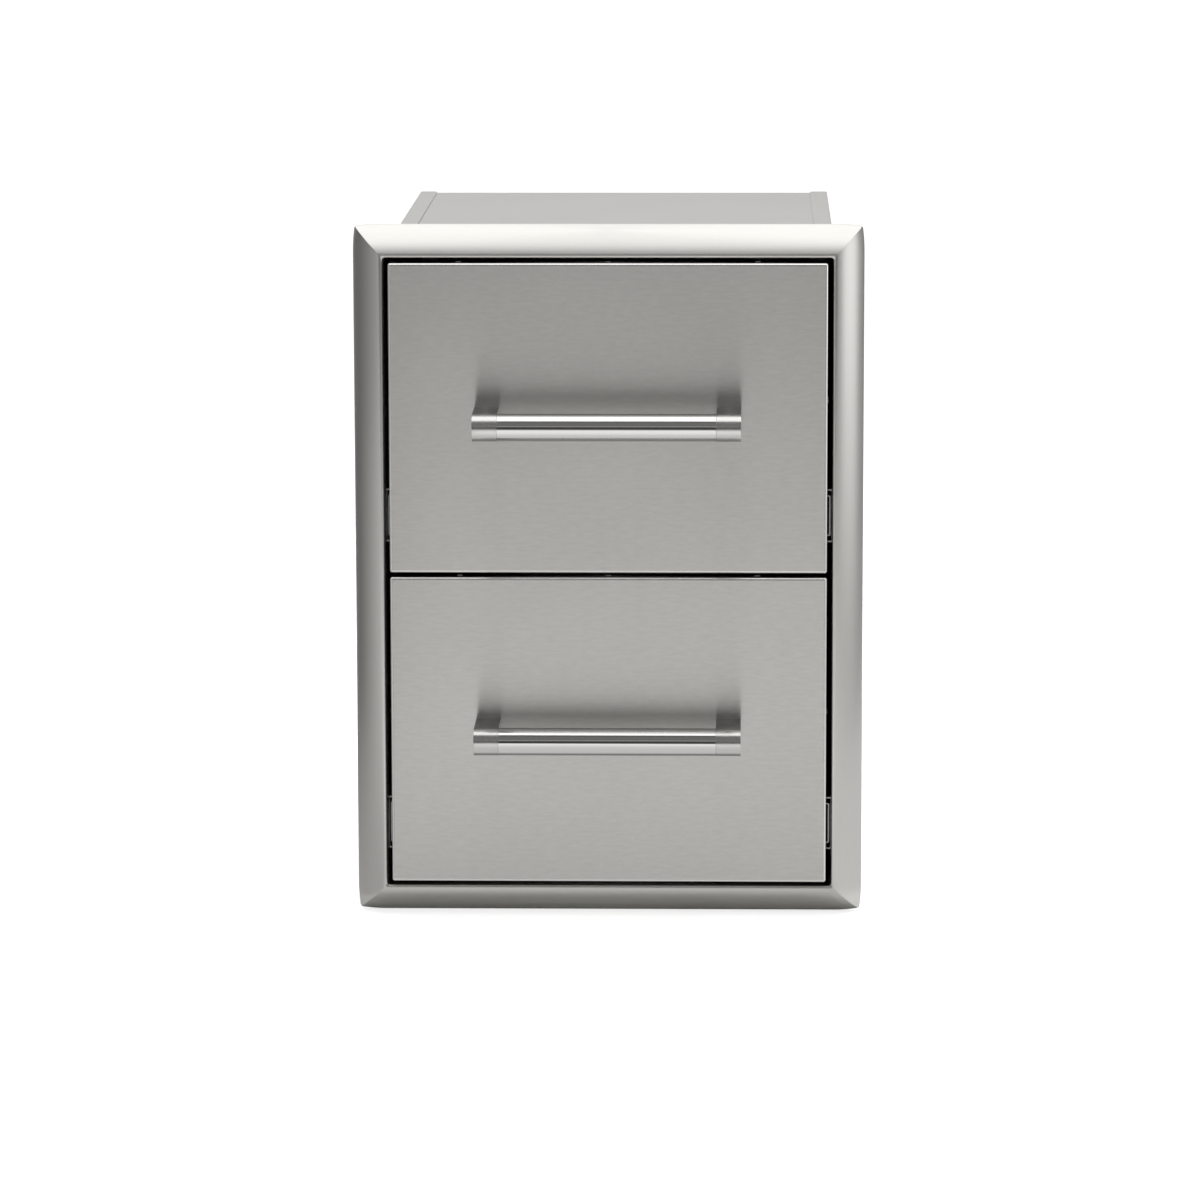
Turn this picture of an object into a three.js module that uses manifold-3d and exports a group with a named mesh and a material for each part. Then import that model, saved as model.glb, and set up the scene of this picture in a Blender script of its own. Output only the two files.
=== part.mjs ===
// Built-in drawer unit for an outdoor kitchen: a round-edged steel trim, a sheet cabinet behind it,
// and two drawers on full-extension ball slides, each with a double-skinned face and a bar handle.
// Lengths are in millimetres. X runs to the right, Y into the wall and Z up. The wall's face is y = 0,
// and heights are measured from the trim's bottom edge until the last group moves the origin.
import * as THREE from "three";
import { mergeVertices } from "three/addons/utils/BufferGeometryUtils.js";
import Module from "manifold-3d";

const wasm = await Module();
wasm.setup();

// Clearance between two pieces that touch, and between two that slide past each other
const SEAT_GAP = 0.3;
// How far a cutting shape runs past the face that it opens
const CUT_OVERRUN = 2;

// Front trim: four rails, mitred at the corners
const TRIM_WIDTH = 435;
const TRIM_HEIGHT = 595;
const RAIL_WIDTH = 26.5;
const RAIL_RISE_INSET = 7.2;
const RAIL_RISE_HEIGHT = 18.3;
const RAIL_CROWN_INSET = 17.6;
const RAIL_CROWN_HEIGHT = 25.3;
const RAIL_NOSE_WIDTH = 3.5;
const RAIL_NOSE_HEIGHT = 27.8;
const RAIL_LIP_HEIGHT = 28.6;
const RAIL_LIP_RADIUS = 2;
const RAIL_HEM_WIDTH = 10;
const RAIL_HEM_RADIUS = 1.2;
const RAIL_RETURN_REACH = 6;
const RAIL_SHEET = 1;
const MITRE_GAP = 0.3;

// Cabinet behind the wall
const CABINET_DEPTH = 565;
const CABINET_SHEET = 0.9;
const CABINET_FLANGE = 16;
const CABINET_FRONT = 1;
const BACK_PANEL_FLANGE = 12;
const FIXING_HOLE_RADIUS = 2.5;
const FIXING_HOLE_SETBACK = 24;
const FIXING_HOLE_HEIGHT_SHARES = [0.25, 0.75];

// Drawer faces: an outer pan and a liner pan nested in it
const FACE_SIDE_GAP = 4.6;
const FACE_EDGE_GAP = 4;
const FACE_MIDDLE_GAP = 3.6;
const FACE_FRONT = 31.7;
const FACE_DEPTH = 23;
const FACE_EDGE_RADIUS = 2.4;
const FACE_SHEET = 1.2;
const LINER_SHEET = 0.9;
const LINER_FLANGE = 12;
const LINER_ACCESS_RADIUS = 7;

// Drawer box behind each face
const BOX_RISE = 12;
const BOX_HEIGHT = 200;
const BOX_DEPTH = 500;
const BOX_SHEET = 0.9;
const BOX_TOP_FLANGE = 8;
const BOX_FLANGE = 12;

// Handle: a tube on the spigots of two posts, each post held by one screw from inside the face
const HANDLE_LENGTH = 226.5;
const HANDLE_RADIUS = 11.7;
const HANDLE_WALL = 1.5;
const HANDLE_STANDOFF = 44;
const HANDLE_DROP = 1.5;
const POST_WIDTH = 21;
const POST_EDGE_RADIUS = 0.6;
const SPIGOT_LENGTH = 8;
const SCREW_RADIUS = 2.5;
const SCREW_REACH = 12;
const SCREW_HEAD_RADIUS = 4.75;
const SCREW_HEAD_HEIGHT = 3.2;

// Ball slides: sizes across the slide are counted from the cabinet wall towards the drawer
const SLIDE_LENGTH = 500;
const SLIDE_SETBACK = 8;
const SLIDE_HEIGHT_ON_FACE = 44;
const SLIDE_SHEET = 1.2;
const SLIDE_BEND_RADIUS = 1.4;
const SLIDE_THICKNESS = 12.7;
const OUTER_MEMBER_HEIGHT = 45.7;
const OUTER_MEMBER_FLANGE = 9.5;
const BALL_RADIUS = 1.7;
const BALL_COUNT = 4;
const CAGE_LENGTH = 200;
const CAGE_SETBACK = 150;
const CAGE_SHEET = 0.5;
const CAGE_STRIP_HEIGHT = 1.6;
const MIDDLE_MEMBER_REACH = 11;
const DRAWER_MEMBER_REACH = 5.2;

// Release lever on each drawer member, where the middle member ends when the drawer is out
const LEVER_LENGTH = 60;
const LEVER_HEIGHT = 7;
const LEVER_THICKNESS = 1.6;
const LEVER_SETBACK = 262;
const LEVER_RIVET_RADIUS = 2;
const LEVER_RIVET_HEAD_RADIUS = 3.5;
const LEVER_RIVET_HEAD_HEIGHT = 1.2;

// Facets of the round stretches
const RAIL_STEPS = 10;
const BEND_STEPS = 3;
const ROUND_STEPS = 32;
const SMALL_ROUND_STEPS = 16;

// Places worked out from the sizes above
const openingHalfWidth = TRIM_WIDTH / 2 - RAIL_WIDTH;
const openingBottom = RAIL_WIDTH;
const openingTop = TRIM_HEIGHT - RAIL_WIDTH;
const cabinetWall = openingHalfWidth + RAIL_SHEET + SEAT_GAP;
const cabinetBottom = openingBottom - RAIL_SHEET - SEAT_GAP - CABINET_SHEET;
const cabinetTop = openingTop + RAIL_SHEET + SEAT_GAP + CABINET_SHEET;
const faceHalfWidth = openingHalfWidth - FACE_SIDE_GAP;
const faceHeight = (openingTop - openingBottom - 2 * FACE_EDGE_GAP - FACE_MIDDLE_GAP) / 2;
const lowerFaceBottom = openingBottom + FACE_EDGE_GAP;
const upperFaceBottom = lowerFaceBottom + faceHeight + FACE_MIDDLE_GAP;
const faceBack = FACE_DEPTH - FACE_FRONT;
const boxWall = cabinetWall - SLIDE_THICKNESS - SEAT_GAP;
const boxFront = faceBack + SEAT_GAP;
const boxBack = boxFront + BOX_DEPTH;
const boxTop = BOX_RISE + BOX_HEIGHT;
const handleHeight = faceHeight / 2 - HANDLE_DROP;
const handleAxis = -FACE_FRONT - HANDLE_STANDOFF;
const postCentre = (HANDLE_LENGTH - POST_WIDTH) / 2;

// Finishes seen on the object
const brushedSteel = new THREE.MeshStandardMaterial({ color: 0xc4c6c8, roughness: 0.32, metalness: 1 });
const satinSteel = new THREE.MeshStandardMaterial({ color: 0xb9bbbd, roughness: 0.42, metalness: 1 });
const polishedSteel = new THREE.MeshStandardMaterial({ color: 0xd2d4d6, roughness: 0.16, metalness: 1 });
const zincSteel = new THREE.MeshStandardMaterial({ color: 0x9da2a6, roughness: 0.38, metalness: 1 });
const cageSteel = new THREE.MeshStandardMaterial({ color: 0x84888c, roughness: 0.45, metalness: 1 });
const blackPlastic = new THREE.MeshStandardMaterial({ color: 0x17181a, roughness: 0.55, metalness: 0 });

// A closed geometry as a solid that can be joined and cut
function solidOf(geometry) {
  const bare = geometry.clone();
  bare.deleteAttribute("normal");
  bare.deleteAttribute("uv");
  const merged = mergeVertices(bare);
  const mesh = new wasm.Mesh({
    numProp: 3,
    vertProperties: merged.getAttribute("position").array,
    triVerts: new Uint32Array(merged.getIndex().array),
  });
  return new wasm.Manifold(mesh);
}

// A solid back as a geometry with flat-shaded faces
function geometryOf(solid) {
  const mesh = solid.getMesh();
  const geometry = new THREE.BufferGeometry();
  geometry.setAttribute("position", new THREE.BufferAttribute(mesh.vertProperties, mesh.numProp));
  geometry.setIndex(new THREE.BufferAttribute(mesh.triVerts, 1));
  const faceted = geometry.toNonIndexed();
  faceted.computeVertexNormals();
  return faceted;
}

function named(name, shape, material) {
  const geometry = shape.isBufferGeometry ? shape : geometryOf(shape);
  const mesh = new THREE.Mesh(geometry, material);
  mesh.name = name;
  return mesh;
}

function joined(solids) {
  return solids.reduce((whole, next) => whole.add(next));
}

function without(solid, cutters) {
  return cutters.reduce((rest, cutter) => rest.subtract(cutter), solid);
}

// A box between any two opposite corners
function block(cornerA, cornerB) {
  const low = cornerA.map((value, axis) => Math.min(value, cornerB[axis]));
  const high = cornerA.map((value, axis) => Math.max(value, cornerB[axis]));
  const box = new THREE.BoxGeometry(1, 1, 1);
  const places = box.getAttribute("position");
  for (let i = 0; i < places.array.length; i += 1) {
    const ends = places.array[i] < 0 ? low : high;
    places.array[i] = ends[i % places.itemSize];
  }
  return solidOf(box);
}

// A round bar along Y between two depths, centred on x and z
function roundAlongY(radius, yA, yB, x, z, steps) {
  const bar = new THREE.CylinderGeometry(radius, radius, Math.abs(yB - yA), steps);
  bar.translate(x, (yA + yB) / 2, z);
  return solidOf(bar);
}

// A round bar along X between two places, centred on y and z
function roundAlongX(radius, xA, xB, y, z, steps) {
  const bar = new THREE.CylinderGeometry(radius, radius, Math.abs(xB - xA), steps);
  bar.rotateZ(Math.PI / 2);
  bar.translate((xA + xB) / 2, y, z);
  return solidOf(bar);
}

// Turns a shape drawn in depth and height, and extruded, so that its extrusion runs along X
const sectionAlongX = new THREE.Matrix4().makeBasis(
  new THREE.Vector3(0, 1, 0),
  new THREE.Vector3(0, 0, 1),
  new THREE.Vector3(1, 0, 0),
);

// The path through the corners with each inner corner rounded: an arc of the radius meets both of its
// sides, and starts radius * tan(turn / 2) before the corner
function roundedPath(corners, radius) {
  const path = [corners[0]];
  for (let i = 1; i < corners.length - 1; i += 1) {
    const arriving = corners[i].clone().sub(corners[i - 1]).normalize();
    const leaving = corners[i + 1].clone().sub(corners[i]).normalize();
    const turn = Math.atan2(arriving.cross(leaving), arriving.dot(leaving));
    const start = corners[i].clone().addScaledVector(arriving, -radius * Math.tan(Math.abs(turn) / 2));
    const sideways = new THREE.Vector2(-arriving.y, arriving.x).multiplyScalar(Math.sign(turn) * radius);
    const centre = start.clone().add(sideways);
    for (let step = 0; step <= BEND_STEPS; step += 1) {
      path.push(start.clone().rotateAround(centre, (turn * step) / BEND_STEPS));
    }
  }
  path.push(corners[corners.length - 1]);
  return path;
}

// The section of a bent sheet: its outer face follows the path and its inner face lies one sheet
// thickness to the right of it, where each point moves along the mean of its two neighbours' normals
function sheetSection(path, sheet) {
  const last = path.length - 1;
  const inner = path.map((point, i) => {
    const arriving = path[Math.max(i, 1)].clone().sub(path[Math.max(i, 1) - 1]).normalize();
    const leaving = path[Math.min(i + 1, last)].clone().sub(path[Math.min(i + 1, last) - 1]).normalize();
    const mean = arriving.clone().add(leaving).normalize();
    const right = new THREE.Vector2(mean.y, -mean.x);
    return point.clone().addScaledVector(right, sheet / mean.dot(arriving));
  });
  return new THREE.Shape([...path, ...inner.reverse()]);
}

// One trim rail. Its section is drawn with the distance in from the outer edge and the height above the
// wall: a hem on the wall, one curve that climbs from the edge and levels out, a nearly flat nose up to
// the lip, and the return flange. The rise point draws the curve up from the edge, and the crown point
// draws it level. The section is carried along X, and the distance in from the edge shortens each end
// to the mitre.
function trimRail(length) {
  const hem = [
    new THREE.Vector2(RAIL_HEM_WIDTH, 0),
    new THREE.Vector2(0, 0),
    new THREE.Vector2(0, RAIL_HEM_RADIUS * 2),
  ];
  const climb = new THREE.CubicBezierCurve(
    hem[hem.length - 1],
    new THREE.Vector2(RAIL_RISE_INSET, RAIL_RISE_HEIGHT),
    new THREE.Vector2(RAIL_CROWN_INSET, RAIL_CROWN_HEIGHT),
    new THREE.Vector2(RAIL_WIDTH - RAIL_NOSE_WIDTH, RAIL_NOSE_HEIGHT),
  ).getPoints(RAIL_STEPS);
  const noseStart = climb.pop();
  const nose = [
    noseStart,
    new THREE.Vector2(RAIL_WIDTH, RAIL_LIP_HEIGHT),
    new THREE.Vector2(RAIL_WIDTH, -RAIL_RETURN_REACH),
  ];
  const path = roundedPath(hem, RAIL_HEM_RADIUS);
  path.push(...climb.slice(1), ...roundedPath(nose, RAIL_LIP_RADIUS));
  const unitRun = { depth: 1, bevelEnabled: false };
  const rail = new THREE.ExtrudeGeometry(sheetSection(path, RAIL_SHEET), unitRun);
  const places = rail.getAttribute("position");
  for (let i = 0; i < places.count; i += 1) {
    const inset = places.getX(i);
    const halfRun = length / 2 - inset - MITRE_GAP;
    places.setXYZ(i, (1 - 2 * places.getZ(i)) * halfRun, -places.getY(i), -inset);
  }
  return rail;
}

function frontTrim() {
  const trim = new THREE.Group();
  const top = named("trim_rail_top", trimRail(TRIM_WIDTH), brushedSteel);
  top.position.set(0, 0, TRIM_HEIGHT);
  const bottom = named("trim_rail_bottom", trimRail(TRIM_WIDTH), brushedSteel);
  bottom.rotation.y = Math.PI;
  const right = named("trim_rail_right", trimRail(TRIM_HEIGHT), brushedSteel);
  right.rotation.y = Math.PI / 2;
  right.position.set(TRIM_WIDTH / 2, 0, TRIM_HEIGHT / 2);
  const left = named("trim_rail_left", trimRail(TRIM_HEIGHT), brushedSteel);
  left.rotation.y = -Math.PI / 2;
  left.position.set(-TRIM_WIDTH / 2, 0, TRIM_HEIGHT / 2);
  trim.add(top, bottom, right, left);
  return trim;
}

// A cabinet side: the wall laps the outside of the trim's return flange, and its flanges lie over the
// top panel, under the floor panel and behind the back panel
function cabinetSide(side) {
  const inner = side * cabinetWall;
  const outer = side * (cabinetWall + CABINET_SHEET);
  const tip = side * (cabinetWall + CABINET_SHEET - CABINET_FLANGE);
  const wall = block([inner, CABINET_FRONT, cabinetBottom], [outer, CABINET_DEPTH, cabinetTop]);
  const topFlange = block(
    [tip, CABINET_FRONT, cabinetTop - CABINET_SHEET],
    [outer, CABINET_DEPTH, cabinetTop],
  );
  const bottomFlange = block(
    [tip, CABINET_FRONT, cabinetBottom],
    [outer, CABINET_DEPTH, cabinetBottom + CABINET_SHEET],
  );
  const rearFlange = block(
    [tip, CABINET_DEPTH - CABINET_SHEET, cabinetBottom],
    [outer, CABINET_DEPTH, cabinetTop],
  );
  const holes = FIXING_HOLE_HEIGHT_SHARES.map((share) => {
    const height = cabinetBottom + share * (cabinetTop - cabinetBottom);
    const xA = inner - side * CUT_OVERRUN;
    const xB = outer + side * CUT_OVERRUN;
    return roundAlongX(FIXING_HOLE_RADIUS, xA, xB, FIXING_HOLE_SETBACK, height, SMALL_ROUND_STEPS);
  });
  return without(joined([wall, topFlange, bottomFlange, rearFlange]), holes);
}

function cabinet() {
  const body = new THREE.Group();
  const panelHalfWidth = cabinetWall - SEAT_GAP;
  const panelFront = RAIL_RETURN_REACH + SEAT_GAP;
  const panelBack = CABINET_DEPTH - CABINET_SHEET - SEAT_GAP;
  const topPanelUnderside = cabinetTop - SEAT_GAP - 2 * CABINET_SHEET;
  const floorPanelTop = cabinetBottom + SEAT_GAP + 2 * CABINET_SHEET;
  const topPanel = block(
    [-panelHalfWidth, panelFront, topPanelUnderside],
    [panelHalfWidth, panelBack, topPanelUnderside + CABINET_SHEET],
  );
  const floorPanel = block(
    [-panelHalfWidth, panelFront, floorPanelTop - CABINET_SHEET],
    [panelHalfWidth, panelBack, floorPanelTop],
  );
  const backLow = floorPanelTop + SEAT_GAP;
  const backHigh = topPanelUnderside - SEAT_GAP;
  const backFlangeFront = panelBack - BACK_PANEL_FLANGE;
  const backPanel = joined([
    block([-panelHalfWidth, panelBack - CABINET_SHEET, backLow], [panelHalfWidth, panelBack, backHigh]),
    block(
      [-panelHalfWidth, backFlangeFront, backHigh - CABINET_SHEET],
      [panelHalfWidth, panelBack, backHigh],
    ),
    block(
      [-panelHalfWidth, backFlangeFront, backLow],
      [panelHalfWidth, panelBack, backLow + CABINET_SHEET],
    ),
  ]);
  body.add(
    named("cabinet_side_left", cabinetSide(-1), satinSteel),
    named("cabinet_side_right", cabinetSide(1), satinSteel),
    named("cabinet_top_panel", topPanel, satinSteel),
    named("cabinet_floor_panel", floorPanel, satinSteel),
    named("cabinet_back_panel", backPanel, satinSteel),
  );
  return body;
}

// The outer pan of a drawer face: a plate with rounded front edges and a return on each side. The
// bevelled extrusion runs from behind the pan to its front, and the cut behind the pan leaves it open.
function facePan() {
  const half = faceHalfWidth - FACE_EDGE_RADIUS;
  const low = FACE_EDGE_RADIUS;
  const high = faceHeight - FACE_EDGE_RADIUS;
  const outline = new THREE.Shape([
    new THREE.Vector2(-half, low),
    new THREE.Vector2(half, low),
    new THREE.Vector2(half, high),
    new THREE.Vector2(-half, high),
  ]);
  const pressed = new THREE.ExtrudeGeometry(outline, {
    depth: FACE_DEPTH,
    bevelThickness: FACE_EDGE_RADIUS,
    bevelSize: FACE_EDGE_RADIUS,
    bevelSegments: BEND_STEPS,
  });
  pressed.rotateX(Math.PI / 2);
  pressed.translate(0, faceBack + FACE_EDGE_RADIUS, 0);
  const behind = faceBack + 2 * FACE_EDGE_RADIUS + CUT_OVERRUN;
  const innerHalf = faceHalfWidth - FACE_SHEET;
  const hollow = block(
    [-innerHalf, FACE_SHEET - FACE_FRONT, FACE_SHEET],
    [innerHalf, behind, faceHeight - FACE_SHEET],
  );
  const trimming = block(
    [-faceHalfWidth - CUT_OVERRUN, faceBack, -CUT_OVERRUN],
    [faceHalfWidth + CUT_OVERRUN, behind, faceHeight + CUT_OVERRUN],
  );
  const holes = [-postCentre, postCentre].map((x) =>
    roundAlongY(
      SCREW_RADIUS + SEAT_GAP,
      -FACE_FRONT - CUT_OVERRUN,
      FACE_SHEET - FACE_FRONT + CUT_OVERRUN,
      x,
      handleHeight,
      SMALL_ROUND_STEPS,
    ),
  );
  return without(solidOf(pressed), [hollow, trimming, ...holes]);
}

// The liner: a second pan that faces the first one from inside it, with a hole to reach each screw
function faceLiner() {
  const half = faceHalfWidth - FACE_SHEET - SEAT_GAP;
  const low = FACE_SHEET + SEAT_GAP;
  const high = faceHeight - FACE_SHEET - SEAT_GAP;
  const front = faceBack - LINER_FLANGE;
  const whole = block([-half, front, low], [half, faceBack, high]);
  const hollow = block(
    [-half + LINER_SHEET, front - CUT_OVERRUN, low + LINER_SHEET],
    [half - LINER_SHEET, faceBack - LINER_SHEET, high - LINER_SHEET],
  );
  const holes = [-postCentre, postCentre].map((x) =>
    roundAlongY(
      LINER_ACCESS_RADIUS,
      faceBack - LINER_SHEET - CUT_OVERRUN,
      faceBack + CUT_OVERRUN,
      x,
      handleHeight,
      SMALL_ROUND_STEPS,
    ),
  );
  return without(whole, [hollow, ...holes]);
}

// A side of the drawer box, with flanges turned inwards at the top, bottom, front and rear
function boxSide(side) {
  const outer = side * boxWall;
  const inner = side * (boxWall - BOX_SHEET);
  const tip = side * (boxWall - BOX_FLANGE);
  const topTip = side * (boxWall - BOX_TOP_FLANGE);
  return joined([
    block([inner, boxFront, BOX_RISE], [outer, boxBack, boxTop]),
    block([topTip, boxFront, boxTop - BOX_SHEET], [outer, boxBack, boxTop]),
    block([tip, boxFront, BOX_RISE], [outer, boxBack, BOX_RISE + BOX_SHEET]),
    block([tip, boxFront, BOX_RISE], [outer, boxFront + BOX_SHEET, boxTop]),
    block([tip, boxBack - BOX_SHEET, BOX_RISE], [outer, boxBack, boxTop]),
  ]);
}

function drawerBox(prefix) {
  const box = new THREE.Group();
  const half = boxWall - BOX_SHEET - SEAT_GAP;
  const backPanelRear = boxBack - BOX_SHEET - SEAT_GAP;
  const backPanelFront = backPanelRear - BOX_SHEET;
  const floorLow = BOX_RISE + BOX_SHEET + SEAT_GAP;
  const floorTop = floorLow + BOX_SHEET;
  const floor = block(
    [-half, boxFront + BOX_SHEET + SEAT_GAP, floorLow],
    [half, backPanelFront - SEAT_GAP, floorTop],
  );
  const back = block(
    [-half, backPanelFront, floorLow],
    [half, backPanelRear, boxTop - BOX_SHEET - SEAT_GAP],
  );
  box.add(
    named(prefix + "_side_left", boxSide(-1), satinSteel),
    named(prefix + "_side_right", boxSide(1), satinSteel),
    named(prefix + "_floor", floor, satinSteel),
    named(prefix + "_back", back, satinSteel),
  );
  return box;
}

// A handle post: flat sides from the face to the bar's axis and a half-round front as thick as the bar.
// A spigot plugs the tube, and a blind hole from behind takes the screw.
function handlePost(side) {
  const back = -FACE_FRONT - SEAT_GAP;
  const outline = new THREE.Shape();
  outline.moveTo(back, handleHeight - HANDLE_RADIUS);
  outline.lineTo(back, handleHeight + HANDLE_RADIUS);
  outline.lineTo(handleAxis, handleHeight + HANDLE_RADIUS);
  outline.absarc(handleAxis, handleHeight, HANDLE_RADIUS, Math.PI / 2, (Math.PI * 3) / 2, false);
  const body = new THREE.ExtrudeGeometry(outline, {
    depth: POST_WIDTH - 2 * POST_EDGE_RADIUS,
    curveSegments: ROUND_STEPS / 2,
    bevelThickness: POST_EDGE_RADIUS,
    bevelSize: POST_EDGE_RADIUS,
    bevelOffset: -POST_EDGE_RADIUS,
    bevelSegments: 1,
  });
  body.applyMatrix4(sectionAlongX);
  body.translate(side * postCentre - (POST_WIDTH - 2 * POST_EDGE_RADIUS) / 2, 0, 0);
  const innerFace = side * (postCentre - POST_WIDTH / 2);
  const spigot = roundAlongX(
    HANDLE_RADIUS - HANDLE_WALL - SEAT_GAP,
    side * postCentre,
    innerFace - side * SPIGOT_LENGTH,
    handleAxis,
    handleHeight,
    SMALL_ROUND_STEPS,
  );
  const bore = roundAlongY(
    SCREW_RADIUS + SEAT_GAP,
    back + CUT_OVERRUN,
    back - SCREW_REACH - SEAT_GAP,
    side * postCentre,
    handleHeight,
    SMALL_ROUND_STEPS,
  );
  return without(solidOf(body).add(spigot), [bore]);
}

// The handle's tube, as a ring of its wall's section turned about the bar's axis
function handleBar() {
  const half = postCentre - POST_WIDTH / 2 - SEAT_GAP;
  const inner = HANDLE_RADIUS - HANDLE_WALL;
  const wall = [
    new THREE.Vector2(inner, -half),
    new THREE.Vector2(HANDLE_RADIUS, -half),
    new THREE.Vector2(HANDLE_RADIUS, half),
    new THREE.Vector2(inner, half),
    new THREE.Vector2(inner, -half),
  ];
  const tube = new THREE.LatheGeometry(wall, ROUND_STEPS);
  tube.rotateZ(Math.PI / 2);
  tube.translate(0, handleAxis, handleHeight);
  return solidOf(tube);
}

// A pan-head screw, turned about Y: its head sits inside the face and its shank reaches into the post
function handleScrew(side) {
  const shankTip = -FACE_FRONT - SEAT_GAP - SCREW_REACH;
  const headSeat = FACE_SHEET - FACE_FRONT + SEAT_GAP;
  const headTop = headSeat + SCREW_HEAD_HEIGHT;
  const crownDrop = SCREW_HEAD_HEIGHT / 4;
  const crownInset = SCREW_HEAD_RADIUS / 6;
  const profile = [
    new THREE.Vector2(0, shankTip),
    new THREE.Vector2(SCREW_RADIUS, shankTip),
    new THREE.Vector2(SCREW_RADIUS, headSeat),
    new THREE.Vector2(SCREW_HEAD_RADIUS, headSeat),
    new THREE.Vector2(SCREW_HEAD_RADIUS, headTop - crownDrop),
    new THREE.Vector2(SCREW_HEAD_RADIUS - crownInset, headTop),
    new THREE.Vector2(0, headTop),
  ];
  const screw = new THREE.LatheGeometry(profile, SMALL_ROUND_STEPS);
  screw.translate(side * postCentre, 0, handleHeight);
  return solidOf(screw);
}

function drawerHandle(prefix) {
  const handle = new THREE.Group();
  handle.add(named(prefix + "_handle_bar", handleBar(), polishedSteel));
  for (const [side, word] of [[-1, "left"], [1, "right"]]) {
    handle.add(
      named(prefix + "_handle_post_" + word, handlePost(side), polishedSteel),
      named(prefix + "_handle_screw_" + word, handleScrew(side), zincSteel),
    );
  }
  return handle;
}

// Where the slide's layers lie, counted from the cabinet wall towards the drawer
const outerWeb = SEAT_GAP;
const outerCageWeb = outerWeb + SLIDE_SHEET + SEAT_GAP;
const middleWeb = outerCageWeb + CAGE_SHEET + SEAT_GAP;
const innerCageWeb = middleWeb + SLIDE_SHEET + SEAT_GAP;
const drawerWeb = SLIDE_THICKNESS - SLIDE_SHEET;

// Half heights of the three members, with a row of balls and two running gaps between each two
const ballRowHeight = 2 * BALL_RADIUS + 2 * SEAT_GAP;
const outerHalfHeight = OUTER_MEMBER_HEIGHT / 2;
const middleHalfHeight = outerHalfHeight - SLIDE_SHEET - ballRowHeight;
const drawerHalfHeight = middleHalfHeight - SLIDE_SHEET - ballRowHeight;

// A member's channel section, carried along Y: its web lies near one side and its flanges reach to the
// other. Places across the slide turn into x as side * (cabinetWall - place).
function slideMember(side, webFace, flangeTip, halfHeight) {
  const corner = (place, height) => new THREE.Vector2(side * (cabinetWall - place), height);
  const corners = [
    corner(flangeTip, halfHeight),
    corner(webFace, halfHeight),
    corner(webFace, -halfHeight),
    corner(flangeTip, -halfHeight),
  ];
  const turnsLeft = side * (webFace - flangeTip) > 0;
  const path = roundedPath(turnsLeft ? corners.reverse() : corners, SLIDE_BEND_RADIUS);
  const member = new THREE.ExtrudeGeometry(sheetSection(path, SLIDE_SHEET), {
    depth: SLIDE_LENGTH,
    bevelEnabled: false,
  });
  member.rotateX(Math.PI / 2);
  member.translate(0, SLIDE_SETBACK + SLIDE_LENGTH, 0);
  return solidOf(member);
}

// A ball cage: a thin web with an edge strip above and below, and the balls held in each strip
function ballCage(side, webFace, rowHeight, ballPlace) {
  const across = (place) => side * (cabinetWall - place);
  const start = CAGE_SETBACK;
  const end = CAGE_SETBACK + CAGE_LENGTH;
  const stripHalf = CAGE_STRIP_HEIGHT / 2;
  const webHalf = rowHeight - stripHalf;
  const pieces = [
    block([across(webFace), start, -webHalf], [across(webFace + CAGE_SHEET), end, webHalf]),
  ];
  for (const row of [-rowHeight, rowHeight]) {
    pieces.push(
      block(
        [across(webFace), start, row - stripHalf],
        [across(ballPlace + BALL_RADIUS / 2), end, row + stripHalf],
      ),
    );
    for (let i = 0; i < BALL_COUNT; i += 1) {
      const ball = new THREE.IcosahedronGeometry(BALL_RADIUS);
      ball.translate(across(ballPlace), start + ((i + 0.5) / BALL_COUNT) * CAGE_LENGTH, row);
      pieces.push(solidOf(ball));
    }
  }
  return joined(pieces);
}

// The drawer member with the rivet that the release lever turns on
function drawerMember(side) {
  const across = (place) => side * (cabinetWall - place);
  const leverNear = drawerWeb - SEAT_GAP - LEVER_THICKNESS;
  const headSeat = leverNear - SEAT_GAP;
  const rivet = [
    [LEVER_RIVET_RADIUS, headSeat, drawerWeb + SLIDE_SHEET / 2],
    [LEVER_RIVET_HEAD_RADIUS, headSeat - LEVER_RIVET_HEAD_HEIGHT, headSeat],
  ].map(([radius, from, to]) =>
    roundAlongX(radius, across(from), across(to), LEVER_SETBACK, 0, SMALL_ROUND_STEPS),
  );
  const channel = slideMember(side, SLIDE_THICKNESS, DRAWER_MEMBER_REACH, drawerHalfHeight);
  return joined([channel, ...rivet]);
}

// The release lever: a flat strip with round ends, bored for its rivet. It is drawn with its length and
// height, and carried across the slide by its thickness.
function releaseLever(side) {
  const near = cabinetWall - drawerWeb + SEAT_GAP;
  const round = LEVER_HEIGHT / 2;
  const half = LEVER_LENGTH / 2 - round;
  const outline = new THREE.Shape();
  outline.absarc(half, 0, round, -Math.PI / 2, Math.PI / 2, false);
  outline.absarc(-half, 0, round, Math.PI / 2, (Math.PI * 3) / 2, false);
  const bore = new THREE.Path();
  bore.absarc(0, 0, LEVER_RIVET_RADIUS + SEAT_GAP, 0, Math.PI * 2, true);
  outline.holes.push(bore);
  const lever = new THREE.ExtrudeGeometry(outline, {
    depth: LEVER_THICKNESS,
    curveSegments: SMALL_ROUND_STEPS / 2,
    bevelEnabled: false,
  });
  lever.applyMatrix4(sectionAlongX);
  lever.translate(side > 0 ? near : -near - LEVER_THICKNESS, LEVER_SETBACK, 0);
  return solidOf(lever);
}

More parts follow.
